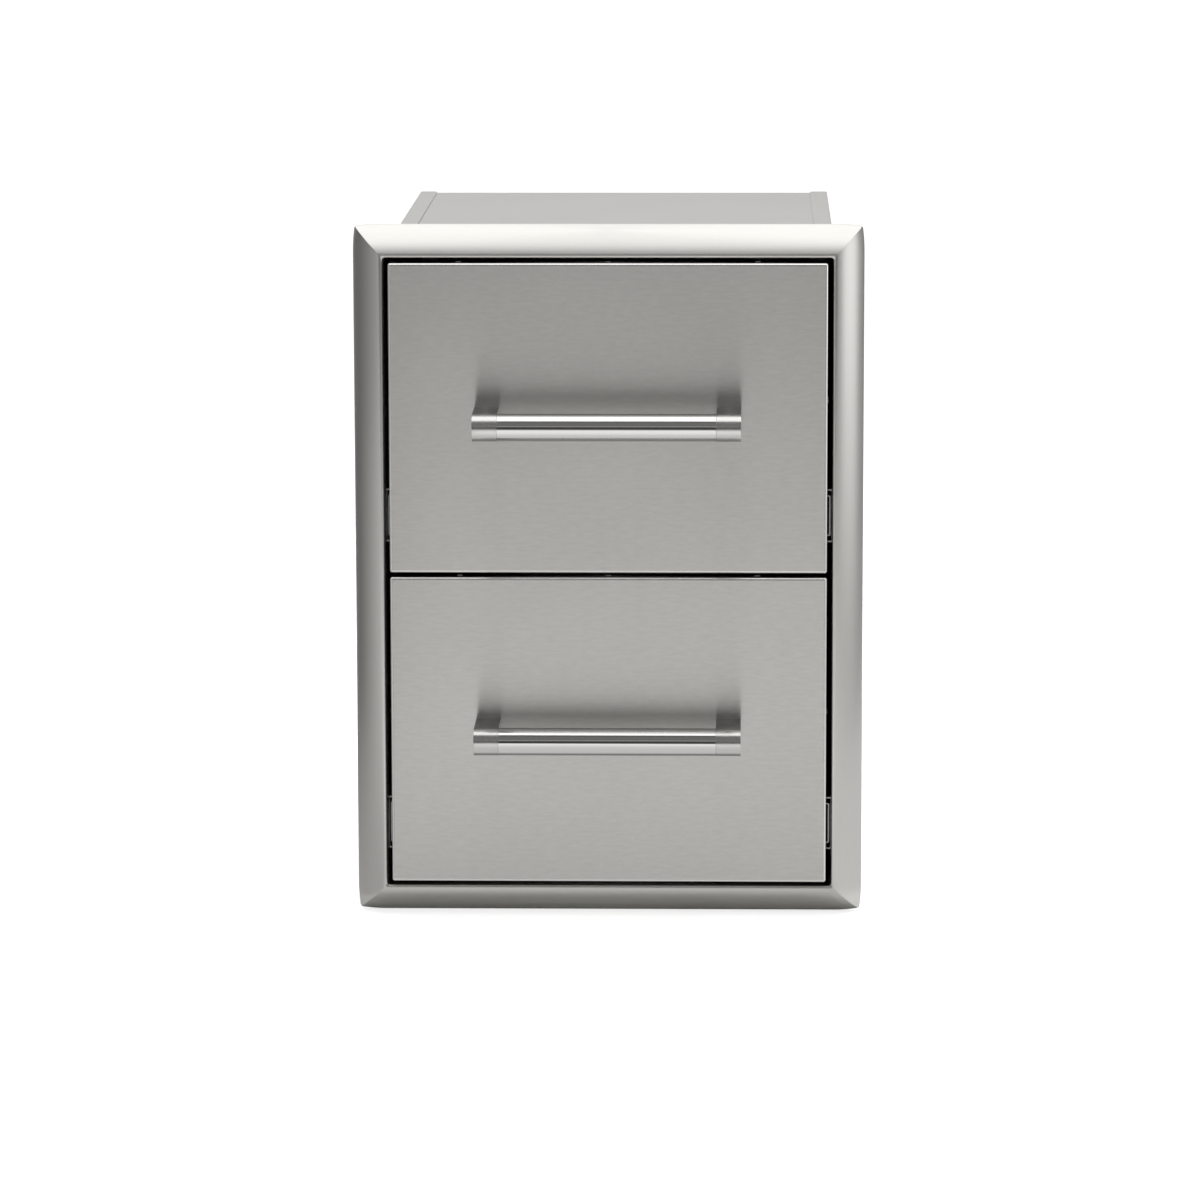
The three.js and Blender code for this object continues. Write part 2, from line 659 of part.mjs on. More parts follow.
// One slide on the side named: the cabinet member, both cages, the middle and drawer members, the lever
function ballSlide(prefix, side) {
  const slide = new THREE.Group();
  const outerRow = outerHalfHeight - SLIDE_SHEET - ballRowHeight / 2;
  const innerRow = middleHalfHeight - SLIDE_SHEET - ballRowHeight / 2;
  const outerBall = (middleWeb + OUTER_MEMBER_FLANGE) / 2;
  const innerBall = (DRAWER_MEMBER_REACH + MIDDLE_MEMBER_REACH) / 2;
  const outer = slideMember(side, outerWeb, OUTER_MEMBER_FLANGE, outerHalfHeight);
  const middle = slideMember(side, middleWeb, MIDDLE_MEMBER_REACH, middleHalfHeight);
  slide.add(
    named(prefix + "_cabinet_member", outer, zincSteel),
    named(prefix + "_outer_cage", ballCage(side, outerCageWeb, outerRow, outerBall), cageSteel),
    named(prefix + "_middle_member", middle, zincSteel),
    named(prefix + "_inner_cage", ballCage(side, innerCageWeb, innerRow, innerBall), cageSteel),
    named(prefix + "_drawer_member", drawerMember(side), zincSteel),
    named(prefix + "_release_lever", releaseLever(side), blackPlastic),
  );
  return slide;
}

// A drawer with its slides. Its own heights start at the bottom edge of its face.
function drawer(level) {
  const whole = new THREE.Group();
  const prefix = level + "_drawer";
  whole.add(
    named(prefix + "_face_pan", facePan(), brushedSteel),
    named(prefix + "_face_liner", faceLiner(), satinSteel),
    drawerBox(prefix),
    drawerHandle(level),
  );
  for (const [side, word] of [[-1, "left"], [1, "right"]]) {
    const slide = ballSlide(level + "_slide_" + word, side);
    slide.position.z = SLIDE_HEIGHT_ON_FACE;
    whole.add(slide);
  }
  return whole;
}

const drawerUnit = new THREE.Group();
const upperDrawer = drawer("upper");
upperDrawer.position.z = upperFaceBottom;
const lowerDrawer = drawer("lower");
lowerDrawer.position.z = lowerFaceBottom;
drawerUnit.add(frontTrim(), cabinet(), upperDrawer, lowerDrawer);

// The origin is the middle of the bottom rail's hem, where the trim meets the wall
drawerUnit.position.z = -RAIL_HEM_WIDTH / 2;

export default drawerUnit;
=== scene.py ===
# %% [markdown]
# # A built-in drawer unit for an outdoor kitchen
#
# The real object is folded from thin stainless sheet: a round-edged trim that covers the edge of a hole
# in a wall, a cabinet behind it, and two drawers on ball slides. The construction comes from a frame
# that holds every piece at its real size. This lesson dresses that frame: it works out each bent sheet
# again with real bend radii, gives every surface the finish of the real metal, and lights it softly.
# Lengths are in metres. X runs to the right, Y into the wall and Z up.

# %% Load the frame
import math

import bpy
import numpy as np
from mathutils import Matrix, Vector


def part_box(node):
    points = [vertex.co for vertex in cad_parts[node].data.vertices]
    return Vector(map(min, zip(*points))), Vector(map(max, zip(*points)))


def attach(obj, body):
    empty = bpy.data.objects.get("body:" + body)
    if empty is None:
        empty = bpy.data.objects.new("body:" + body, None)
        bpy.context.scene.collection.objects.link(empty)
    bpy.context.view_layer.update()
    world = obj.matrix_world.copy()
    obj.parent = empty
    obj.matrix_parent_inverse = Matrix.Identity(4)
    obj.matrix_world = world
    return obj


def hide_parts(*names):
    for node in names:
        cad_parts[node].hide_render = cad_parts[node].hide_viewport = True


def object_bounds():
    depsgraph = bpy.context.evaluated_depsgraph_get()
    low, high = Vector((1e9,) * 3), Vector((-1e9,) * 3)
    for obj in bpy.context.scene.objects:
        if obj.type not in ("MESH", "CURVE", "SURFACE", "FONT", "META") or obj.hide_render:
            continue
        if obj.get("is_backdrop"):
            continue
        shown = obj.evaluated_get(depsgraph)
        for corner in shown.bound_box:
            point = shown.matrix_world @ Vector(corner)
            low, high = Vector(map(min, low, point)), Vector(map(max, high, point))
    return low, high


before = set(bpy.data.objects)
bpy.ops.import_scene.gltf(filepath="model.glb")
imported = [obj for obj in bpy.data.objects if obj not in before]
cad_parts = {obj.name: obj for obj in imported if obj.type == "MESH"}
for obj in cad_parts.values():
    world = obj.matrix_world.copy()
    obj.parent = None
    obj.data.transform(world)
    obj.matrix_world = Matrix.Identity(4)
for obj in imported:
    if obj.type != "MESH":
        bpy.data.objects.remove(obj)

MM = 0.001
LEVELS = ("upper", "lower")
SIDES = {"left": "-", "right": "+"}
cad_low, cad_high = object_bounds()
print("frame:", len(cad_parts), "nodes, box", list(cad_low), list(cad_high))

# %% [markdown]
# ## The camera
# The picture was taken with a long lens from a little right of centre and from above, so the object's
# top shows and its upright edges hardly lean in. A camera is easiest to aim by its own three
# directions: forward comes from a turn about the vertical (yaw) and a dip below the horizon (pitch), and
# the other two follow from cross products. These three, as columns, are the camera's rotation.

# %% Aim the camera
CAMERA_PLACE = Vector((0.1199, -4.6714, 1.0466))
CAMERA_YAW = -0.02735
CAMERA_PITCH = 0.16551
CAMERA_ROLL = -0.0024
CAMERA_LENS = 165.51
CAMERA_SENSOR = 36.0


def new_object(name, data):
    """An object with this data, linked into the scene."""
    made = bpy.data.objects.new(name, data)
    bpy.context.scene.collection.objects.link(made)
    return made


def aimed_camera():
    """A camera whose forward direction is (sin yaw cos pitch, cos yaw cos pitch, -sin pitch)."""
    flat = math.cos(CAMERA_PITCH)
    forward = Vector((math.sin(CAMERA_YAW) * flat, math.cos(CAMERA_YAW) * flat, -math.sin(CAMERA_PITCH)))
    level = Vector((math.cos(CAMERA_YAW), -math.sin(CAMERA_YAW), 0.0))
    upright = level.cross(forward)
    right = level * math.cos(CAMERA_ROLL) + upright * math.sin(CAMERA_ROLL)
    up = upright * math.cos(CAMERA_ROLL) - level * math.sin(CAMERA_ROLL)
    data = bpy.data.cameras.new("camera")
    data.lens = CAMERA_LENS
    data.sensor_width = CAMERA_SENSOR
    camera = new_object("camera", data)
    turn = Matrix((right, up, -forward)).transposed().to_4x4()
    camera.matrix_world = Matrix.Translation(CAMERA_PLACE) @ turn
    bpy.context.scene.camera = camera


aimed_camera()
bpy.context.scene.view_settings.view_transform = "Standard"
print("camera lens", CAMERA_LENS, "mm, dips", round(math.degrees(CAMERA_PITCH), 2), "degrees")

# %% [markdown]
# ## Shader maths as Python
# A material is a graph of nodes, and even a short formula takes many of them. A small class wraps a
# node's output and overloads plus and times, so that `0.3 + grain * 0.1` adds the Math nodes by itself.
# Every other node comes from one method: it takes the node's type, the values or links of its inputs,
# and its settings.

# %% A node's output as a number
class Wire:
    """A node's output. A sign between it and another wire, or a plain number, adds a Math node."""

    def __init__(self, shader, output):
        self.shader = shader
        self.output = output

    def math(self, operation, first, second):
        """A Math node on two wires or numbers."""
        return self.shader.node("ShaderNodeMath", {0: first, 1: second}, operation=operation)

    def __add__(self, other):
        return self.math("ADD", self, other)

    def __radd__(self, other):
        return self.math("ADD", other, self)

    def __mul__(self, other):
        return self.math("MULTIPLY", self, other)

# %% The node graph
NOISE_DETAIL = 2.0


class Shader:
    """The node graph of a material or a world, from empty."""

    def __init__(self, owner):
        owner.use_nodes = True
        self.tree = owner.node_tree
        self.tree.nodes.clear()

    def node(self, kind, inputs=None, output=0, **settings):
        """One node: its settings are set first, then each input gets a wire or a value."""
        made = self.tree.nodes.new(kind)
        for name, value in settings.items():
            setattr(made, name, value)
        for name, value in (inputs or {}).items():
            if isinstance(value, Wire):
                self.tree.links.new(value.output, made.inputs[name])
            else:
                made.inputs[name].default_value = value
        return Wire(self, made.outputs[output]) if len(made.outputs) else made

    def mix(self, factor, first, second):
        """A colour between two colours. In a Mix node's list they are inputs 6 and 7, and output 2."""
        return self.node("ShaderNodeMix", {0: factor, 6: first, 7: second}, 2, data_type="RGBA")

    def noise(self, place, scale):
        """Noise from 0 to 1 whose grain is 1 / scale metres long in each direction."""
        sized = self.node("ShaderNodeVectorMath", {0: place, 1: scale}, operation="MULTIPLY")
        return self.node("ShaderNodeTexNoise", {"Vector": sized, "Scale": 1.0, "Detail": NOISE_DETAIL})

    def show(self, surface):
        """The surface goes to the material's output."""
        self.node("ShaderNodeOutputMaterial", {"Surface": surface})


def new_material(name):
    """A material and its empty node graph."""
    material = bpy.data.materials.new(name)
    return material, Shader(material)

# %% [markdown]
# ## Brushed and rolled steel
# Bare steel is all reflection, so its finish is in how rough it is and which way its grain runs. An
# abrasive belt leaves fine scratches, many times longer than wide: noise that is stretched along one
# axis. They blur a reflection across the grain, which is anisotropic roughness, and catch
# the light a little unevenly, which is colour, roughness and bump from the same stretched noise. Softer
# and larger clouds stand for the uneven pressure of the belt. Some places differ: hands and cloths
# polish a sheet's bent edges, which lowers the roughness there, and a lighter colour there is a painted
# highlight. No belt reaches the rear of a handle, which is rougher, and a darker colour there is painted
# shade. A piece can carry an attribute that is 1 in such places, and its finish then turns into another
# colour and roughness there.

# %% Metal finishes
GRAIN_SCALES = (90.0, 380.0)
HAIR_SCALES = (280.0, 850.0)
CLOUD_SCALE = 9.0
TONE_SHARES = (0.5, 0.2, 0.3)
ROUGH_SHARES = (0.4, 0.6)
RELIEF_SHARES = (0.4, 0.6)
GRAIN_BUMP_DEPTH = 0.02 * MM
# On the faces' bends a polish lowers the roughness, and a lighter colour paints a highlight.
POLISHED_AND_HIGHLIT_BENDS = ("bend", (0.960, 0.955, 0.940, 1.0), 0.5)
# On the rear of the bars and posts the finish is rougher, and a darker colour paints shade.
ROUGH_AND_SHADED_BACKS = ("back", (0.330, 0.327, 0.320, 1.0), 1.8)


def blended(shares, wires):
    """The sum of the wires, each times its share."""
    parts = [wire * share for share, wire in zip(shares, wires)]
    return sum(parts[1:], parts[0])


def metal(name, colour, roughness, along="X", contrast=0.05, uneven=0.05, bump=0.15, anisotropic=0.0,
          turn=0.0, mark=None):
    """Bare metal with its grain along one axis. Along "" the grain has no direction. A mark is an
    attribute, the colour painted there as a highlight or as shade, and a factor for its roughness there."""
    material, shader = new_material(name)
    place = shader.node("ShaderNodeTexCoord", output="Object")
    grain, hair = (
        shader.noise(place, [lengthwise if axis == along else across for axis in "XYZ"])
        for lengthwise, across in (GRAIN_SCALES, HAIR_SCALES)
    )
    cloud = shader.noise(place, [CLOUD_SCALE] * 3)
    tone = blended(TONE_SHARES, (grain, hair, cloud))
    dark = [shade * (1 - contrast) for shade in colour] + [1.0]
    light = [min(shade * (1 + contrast), 1.0) for shade in colour] + [1.0]
    inputs = {
        "Base Color": shader.mix(tone, dark, light),
        "Metallic": 1.0,
        "Roughness": roughness - uneven / 2 + blended(ROUGH_SHARES, (grain, cloud)) * uneven,
        "Anisotropic": anisotropic,
        "Anisotropic Rotation": turn,
    }
    # A mark paints its colour in its places: a painted highlight where lighter, painted shade where darker.
    if mark:
        attribute, marked_colour, factor = mark
        share = shader.node("ShaderNodeAttribute", output="Fac", attribute_name=attribute)
        inputs["Base Color"] = shader.mix(share, inputs["Base Color"], marked_colour)
        inputs["Roughness"] = inputs["Roughness"] * (1 + share * (factor - 1))
    if bump:
        height = blended(RELIEF_SHARES, (grain, hair))
        relief = {"Strength": bump, "Distance": GRAIN_BUMP_DEPTH, "Height": height}
        inputs["Normal"] = shader.node("ShaderNodeBump", relief)
    shader.show(shader.node("ShaderNodeBsdfPrincipled", inputs))
    return material

# %% Steel and zinc of this unit
STEEL = (0.740, 0.730, 0.700)
FACE_STEEL = (0.811, 0.800, 0.767)
SHEET = (0.700, 0.692, 0.668)
POLISHED = (0.780, 0.772, 0.752)
SATIN = (0.720, 0.712, 0.690)
ZINC = (0.690, 0.700, 0.710)
CAGE = (0.360, 0.365, 0.370)
RIVET = (0.640, 0.640, 0.635)

finishes = {
    "face": metal("brushed_face", FACE_STEEL, 0.28, "X", 0.16, 0.02, 0.0, 0.96, 0.25, POLISHED_AND_HIGHLIT_BENDS),
    "level_rail": metal("brushed_level_rail", STEEL, 0.34, "X", anisotropic=0.75, turn=0.25),
    "upright_rail": metal("brushed_upright_rail", STEEL, 0.30, "Z", anisotropic=0.6),
    "sheet": metal("rolled_sheet", SHEET, 0.36, "Y", contrast=0.04),
    "sheet_across": metal("rolled_sheet_across", SHEET, 0.36, "X", contrast=0.04),
    "bar": metal("polished_bar", POLISHED, 0.11, "X", 0.04, 0.03, 0.1, mark=ROUGH_AND_SHADED_BACKS),
    "post": metal("satin_post", SATIN, 0.21, "X", 0.04, 0.04, 0.15, 0.7, 0.25, ROUGH_AND_SHADED_BACKS),
    "zinc": metal("zinc_plate", ZINC, 0.34, "Y", contrast=0.10, uneven=0.10),
    "cage": metal("cage_strip", CAGE, 0.40, "Y", contrast=0.10),
    "ball": metal("bearing_ball", POLISHED, 0.08, "", contrast=0.02, bump=0.0),
    "rivet": metal("rivet_metal", RIVET, 0.30, "", contrast=0.06),
}

# %% [markdown]
# ## Moulded plastic
# The release levers on the slides are black plastic from a mould with a spark-eroded texture: nearly
# black, a little shiny, with fine pits. Voronoi cells would give pits with hard borders, so a fine noise
# gives softer ones.

# %% Black plastic
PLASTIC_PIT_SCALE = 1800.0
PLASTIC_PIT_DEPTH = 0.03 * MM
PLASTIC_CLOUD_SCALE = 180.0
PLASTIC_ROUGHNESS = (0.40, 0.60)
PLASTIC_RELIEF = 0.4
PLASTIC_DARK = (0.012, 0.012, 0.013, 1.0)
PLASTIC_LIGHT = (0.026, 0.026, 0.028, 1.0)


def moulded_plastic():
    """Fine noise is the relief and the roughness, and a coarser one the colour."""
    material, shader = new_material("moulded_plastic")
    place = shader.node("ShaderNodeTexCoord", output="Object")
    pits = shader.noise(place, [PLASTIC_PIT_SCALE] * 3)
    cloud = shader.noise(place, [PLASTIC_CLOUD_SCALE] * 3)
    relief = {"Strength": PLASTIC_RELIEF, "Distance": PLASTIC_PIT_DEPTH, "Height": pits}
    smooth, rough = PLASTIC_ROUGHNESS
    inputs = {
        "Base Color": shader.mix(cloud, PLASTIC_DARK, PLASTIC_LIGHT),
        "Roughness": smooth + pits * (rough - smooth),
        "Normal": shader.node("ShaderNodeBump", relief),
    }
    shader.show(shader.node("ShaderNodeBsdfPrincipled", inputs))
    return material


finishes["plastic"] = moulded_plastic()
print("finishes:", ", ".join(sorted(finishes)))

# %% [markdown]
# ## Surfaces from arrays
# Every new piece is a grid of points. Its faces need no thought: the quads of a grid of rows and
# columns follow from the counts alone, and a closed direction joins the last column to the first. What
# a grid leaves open is closed with flat caps. A closed shell's volume is the sum of the thin
# tetrahedra between the origin and its faces. If it comes out negative, the shell is inside out, and
# every face is turned round.

# %% Grids, caps and outward faces
def grid_quads(rows, columns, closed_rows=False):
    """The quads between neighbouring points of a grid whose columns go round and close."""
    row, column = np.indices((rows if closed_rows else rows - 1, columns))
    next_row = (row + 1) % rows
    next_column = (column + 1) % columns
    corners = ((row, column), (next_row, column), (next_row, next_column), (row, next_column))
    return np.stack([down * columns + along for down, along in corners], -1).reshape(-1, 4)


def volume(points, blocks):
    """The sum over the faces of first . (second x third) / 6, each face fanned from its first point."""
    middle = points - points.mean(axis=0)
    total = 0.0
    for block in blocks:
        first = middle[block[:, :1]]
        crossed = np.cross(middle[block[:, 1:-1]], middle[block[:, 2:]])
        total += float((first * crossed).sum()) / 6
    return total


def shell(points, blocks):
    """A closed surface whose faces point outwards."""
    outward = blocks if volume(points, blocks) > 0 else [block[:, ::-1] for block in blocks]
    return points, outward


def placed(flat, origin, directions):
    """Points given along three directions, such as "+x -z +y", as points of the frame."""
    letters = directions.split()
    basis = np.array([[(axis == name[1]) * float(name[0] + "1") for axis in "xyz"] for name in letters])
    return np.asarray(origin, float) + flat @ basis

# %% [markdown]
# ## From arrays to a piece
# A piece may hold several closed shells, such as a strip with its row of balls. Its mesh is filled in
# one go, smooth shaded, with every edge sharper than a set angle kept crisp. Holes and slots are cut
# afterwards: a Boolean modifier takes a second mesh out of the first, its result becomes the piece's
# mesh, and the cutting mesh is thrown away. The piece then rides on the body that carries it, names the
# slot of its finish and hides the plain solid that it stands for.

# %% Fill and cut a mesh
def filled_mesh(name, shells):
    """One mesh of all the shells: a shell's faces count on from the points before it."""
    points = []
    faces = []
    start = 0
    for shell_points, blocks in shells:
        points.append(shell_points)
        for block in blocks:
            faces += (block + start).tolist()
        start += len(shell_points)
    mesh = bpy.data.meshes.new(name)
    mesh.from_pydata(np.concatenate(points).tolist(), [], faces)
    return mesh


def cut(piece, cutters):
    """Takes closed shells out of a piece. Shells of the piece that overlap become one."""
    tool = new_object("cutter", filled_mesh("cutter", cutters))
    modifier = piece.modifiers.new("cut", "BOOLEAN")
    modifier.operation = "DIFFERENCE"
    modifier.solver = "EXACT"
    modifier.use_self = True
    modifier.object = tool
    graph = bpy.context.evaluated_depsgraph_get()
    result = bpy.data.meshes.new_from_object(piece.evaluated_get(graph))
    piece.modifiers.clear()
    piece.data = result
    bpy.data.objects.remove(tool)

# %% Marked places
def bends(x, y, z):
    """4 y^2 (1 - y^2) of the normal, which is 1 halfway round a bend between -y and the sides."""
    return 4 * y**2 * (1 - y**2)


# The painted shade on the rear of the bars and posts fades in over these angles.
BACK_TILT = math.radians(15)
BACK_START = 0.56
BACK_FADE = 0.18


def shaded_backs(x, y, z):
    """The share of painted shade: 0 where the normal is within about 56 degrees of a direction forward
    and 15 degrees up, 1 from about 68 degrees on, and less towards the ends, where the normal turns to x."""
    forward = z * math.sin(BACK_TILT) - y * math.cos(BACK_TILT)
    return np.clip((BACK_START - forward) / BACK_FADE, 0, 1) * (1 - x**2)


def mark_places(piece, attribute, share):
    """An attribute of the mesh, as a function of each vertex normal's x, y and z."""
    normals = np.empty(3 * len(piece.data.vertices), np.float32)
    piece.data.vertices.foreach_get("normal", normals)
    values = share(*normals.reshape(-1, 3).T)
    piece.data.attributes.new(attribute, "FLOAT", "POINT").data.foreach_set("value", values)

# %% Make a piece
SHARP_ANGLE = math.radians(32)


def make_piece(name, shells, body, finish, replaces=(), cutters=()):
    """A piece of closed shells, less its cutters, that rides on a body and stands for some nodes."""
    mesh = filled_mesh(name, shells)
    mesh.materials.append(finishes[finish])
    piece = new_object(name, mesh)
    if cutters:
        cut(piece, cutters)
    piece.data.shade_smooth()
    piece.data.set_sharp_from_angle(angle=SHARP_ANGLE)
    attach(piece, body)
    if replaces:
        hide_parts(*replaces)
    return piece

# %% [markdown]
# ## Bent sheet
# Nearly every piece here is one thickness of metal folded along straight lines, so a section is enough:
# the line of its outer face with an arc at each bend. The inner face is that line moved sideways by the
# thickness. A flat stretch beside an arc also gets a point close to the arc, because smooth shading
# would otherwise spread the bend's slope over the whole flat.

# %% Section lines and sheets
BEND_STEPS = 6
HOLD = 0.2 * MM
SAME_POINT = 0.001 * MM


def bent_line(corners, radius):
    """A line through the corners with an arc of the radius in each inner one. The arc starts
    radius * tan(turn / 2) before its corner, and a holding point lies just before and after it.
    Points that fall together are kept once."""
    corners = np.asarray(corners, float)
    line = [corners[:1]]
    for before, corner, after in zip(corners, corners[1:], corners[2:]):
        arriving = (corner - before) / np.linalg.norm(corner - before)
        leaving = (after - corner) / np.linalg.norm(after - corner)
        turn = math.atan2(arriving[0] * leaving[1] - arriving[1] * leaving[0], arriving @ leaving)
        side = np.array([-arriving[1], arriving[0]]) * math.copysign(radius, turn)
        start = corner - arriving * radius * math.tan(abs(turn) / 2)
        finish = corner + leaving * radius * math.tan(abs(turn) / 2)
        angle = np.linspace(0, turn, BEND_STEPS + 1)[:, None]
        away = -side
        onward = np.array([-away[1], away[0]])
        arc = start + side + away * np.cos(angle) + onward * np.sin(angle)
        line += [start[None] - arriving * HOLD, arc, finish[None] + leaving * HOLD]
    line = np.vstack([*line, corners[-1:]])
    steps = np.linalg.norm(np.diff(line, axis=0), axis=1)
    return line[np.append(True, steps > SAME_POINT)]

# %% Sheets from section lines
def sheet_section(line, thickness):
    """The closed section of a sheet: the line, and the line moved to its right by the thickness
    along the mean of the directions before and after each point, over the cosine of half the turn."""
    steps = np.diff(line, axis=0)
    steps /= np.linalg.norm(steps, axis=1, keepdims=True)
    before = np.vstack([steps[:1], steps])
    after = np.vstack([steps, steps[-1:]])
    mean = before + after
    mean /= np.linalg.norm(mean, axis=1, keepdims=True)
    right = np.stack([mean[:, 1], -mean[:, 0]], axis=1)
    inner = line + right * thickness / (mean * after).sum(axis=1, keepdims=True)
    return np.vstack([line, inner[::-1]])


def swept(flat, stations, origin, directions):
    """A section's points at each station of a run, closed at both ends by a strip of quads."""
    count = len(flat) // stations
    left = np.arange(count // 2 - 1)
    right = count - 1 - left
    cap = np.stack([left, left + 1, right - 1, right], axis=1)
    blocks = [grid_quads(stations, count), cap, cap[:, ::-1] + (stations - 1) * count]
    return shell(placed(flat, origin, directions), blocks)


def folded_sheet(line, thickness, start, end, origin, directions):
    """A sheet's section carried along a straight run. Its start and end are numbers, or functions of
    the section's points, for a mitre or a rounded corner."""
    section = sheet_section(line, thickness)
    ends = [value(section) if callable(value) else np.full(len(section), value) for value in (start, end)]
    flat = np.vstack([np.column_stack([section, run]) for run in ends])
    return swept(flat, 2, origin, directions)

# %% [markdown]
# ## Stacked outlines and turned profiles
# Pans, plates and posts are stacks of outlines: each ring is the same outline drawn in by an inset and
# moved along a depth, so a rounded edge is a few rings whose inset and depth follow a quarter circle.
# Bars, rivets and screws are profiles turned about an axis.

# %% Stacks of rings
ROUND_STEPS = 8


def stacked(outlines, depths, origin, directions):
    """Rings of equal count at their depths, closed by a flat cap on the first and on the last."""
    rings, count, _ = outlines.shape
    depth = np.repeat(np.asarray(depths, float), count)[:, None]
    flat = np.hstack([outlines.reshape(-1, 2), depth])
    ring = np.arange(count)[None]
    blocks = [grid_quads(rings, count), ring, ring[:, ::-1] + (rings - 1) * count]
    return shell(placed(flat, origin, directions), blocks)


def rounded_rectangle(half_width, half_height, corner, insets):
    """For each inset, four quarter circles of radius max(corner - inset, a tenth of the corner),
    centred that far in from the sides of the rectangle, itself drawn in by the inset."""
    inset = np.asarray(insets, float)[:, None]
    radius = np.maximum(corner - inset, corner / 10)
    angle = np.linspace(0, math.pi / 2, ROUND_STEPS + 1)
    round_angle = (np.arange(4)[:, None] * math.pi / 2 + angle).ravel()
    side_u = np.repeat([1, -1, -1, 1], ROUND_STEPS + 1)
    side_v = np.repeat([1, 1, -1, -1], ROUND_STEPS + 1)
    across = side_u * (half_width - inset - radius) + radius * np.cos(round_angle)
    upward = side_v * (half_height - inset - radius) + radius * np.sin(round_angle)
    return np.stack([across, upward], axis=-1)


def quarter(radius):
    """Inset and depth round a quarter circle from a side (inset 0) to a flat (depth 0)."""
    angle = np.linspace(0, math.pi / 2, ROUND_STEPS + 1)
    return radius * (1 - np.cos(angle)), radius * (1 - np.sin(angle))

# %% Plates with rounded edges
def round_edges(edge, thickness):
    """Insets and depths from one flat side to the other, with a rounded edge at both."""
    inset, depth = quarter(edge)
    insets = np.r_[edge + HOLD, inset[::-1], inset, edge + HOLD]
    return insets, np.r_[0, depth[::-1], thickness - depth, thickness]


def plate(low, high, corner, edge, run="z"):
    """A flat plate between two opposite corners of its box, with rounded corners seen along its run
    and rounded edges all round."""
    low = np.asarray(low, float)
    high = np.asarray(high, float)
    order = {"z": (0, 1, 2), "y": (0, 2, 1), "x": (1, 2, 0)}[run]
    half = (high - low) / 2
    middle = (high + low) / 2
    middle[order[2]] = low[order[2]]
    insets, depths = round_edges(edge, 2 * half[order[2]])
    outlines = rounded_rectangle(half[order[0]], half[order[1]], corner, insets)
    directions = " ".join("+" + "xyz"[axis] for axis in order)
    return stacked(outlines, depths, middle, directions)

# %% Turned profiles
def turned(radii, places, steps, origin, directions, ring=False):
    """A profile of radii at places along the axis, turned about it: (r cos a, r sin a, place). A ring
    profile closes on itself. Any other starts and ends on the axis, in a fan of triangles."""
    radii = np.asarray(radii, float)
    places = np.asarray(places, float)
    body = slice(None) if ring else slice(1, -1)
    angle = np.arange(steps) * 2 * math.pi / steps
    across = radii[body, None] * np.cos(angle)
    upward = radii[body, None] * np.sin(angle)
    along = np.repeat(places[body, None], steps, axis=1)
    flat = np.stack([across, upward, along], axis=-1).reshape(-1, 3)
    rows = len(radii[body])
    blocks = [grid_quads(rows, steps, closed_rows=ring)]
    if not ring:
        first = np.arange(steps)
        second = (first + 1) % steps
        last = (rows - 1) * steps
        poles = len(flat)
        flat = np.vstack([flat, [[0, 0, places[0]], [0, 0, places[-1]]]])
        blocks.append(np.stack([np.full(steps, poles), first, second], axis=1))
        blocks.append(np.stack([np.full(steps, poles + 1), second + last, first + last], axis=1))
    return shell(placed(flat, origin, directions), blocks)

# %% Round bars and rivet heads
ROUND_COUNT = 24
DOME_STEPS = 4
DOME_RIM_SHARE = 0.25


def round_bar(radius, start, end, origin, directions):
    """A plain round bar along the last direction, for pins and for cutting holes."""
    return turned([0, radius, radius, 0], [start, start, end, end], ROUND_COUNT, origin, directions)


def dome(radius, height, origin, directions):
    """A rivet's head: a quarter of an ellipse, radius cos t and height sin t, on a short straight rim
    that sinks a little into what it sits on."""
    t = np.linspace(0, math.pi / 2, DOME_STEPS + 1)
    radii = np.r_[0, radius, radius * np.cos(t[:-1]), 0]
    crown = height * (DOME_RIM_SHARE + (1 - DOME_RIM_SHARE) * np.sin(t[:-1]))
    places = np.r_[[-height * DOME_RIM_SHARE] * 2, crown, height]
    return turned(radii, places, ROUND_COUNT, origin, directions)

# %% [markdown]
# ## The trim
# The trim is four rails of the same section, mitred at the corners. The section starts with a hem that
# lies on the wall, climbs in one cubic Bezier curve that levels out, and ends in a narrow flat nose, a
# tight lip and a flange that turns back into the opening. A mitre alone would leave needle-sharp
# corners. Real ones are ground a little round outside, and the opening has a small radius inside. So
# each line of the section, on its way along the rail, turns into the mitre on an arc of its own: wide at
# the outer edge and at the lip, and next to nothing between them, where the mitre stays crisp.

# %% Section of the trim
rail_low, rail_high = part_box("trim_rail_left")
TRIM_HALF_WIDTH = -rail_low.x
TRIM_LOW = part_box("trim_rail_bottom")[0].z
TRIM_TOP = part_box("trim_rail_top")[1].z
RAIL_WIDTH = rail_high.x - rail_low.x
RAIL_RETURN = rail_high.y
RAIL_RISE = (7.2 * MM, 18.3 * MM)
RAIL_CROWN = (17.6 * MM, 25.3 * MM)
RAIL_NOSE = (RAIL_WIDTH - 3.5 * MM, 27.8 * MM)
RAIL_LIP = (RAIL_WIDTH, 28.6 * MM)
RAIL_LIP_RADIUS = 2 * MM
RAIL_HEM_WIDTH = 10 * MM
RAIL_HEM_RADIUS = 1.2 * MM
RAIL_SHEET = 1 * MM
RAIL_CURVE_STEPS = 40


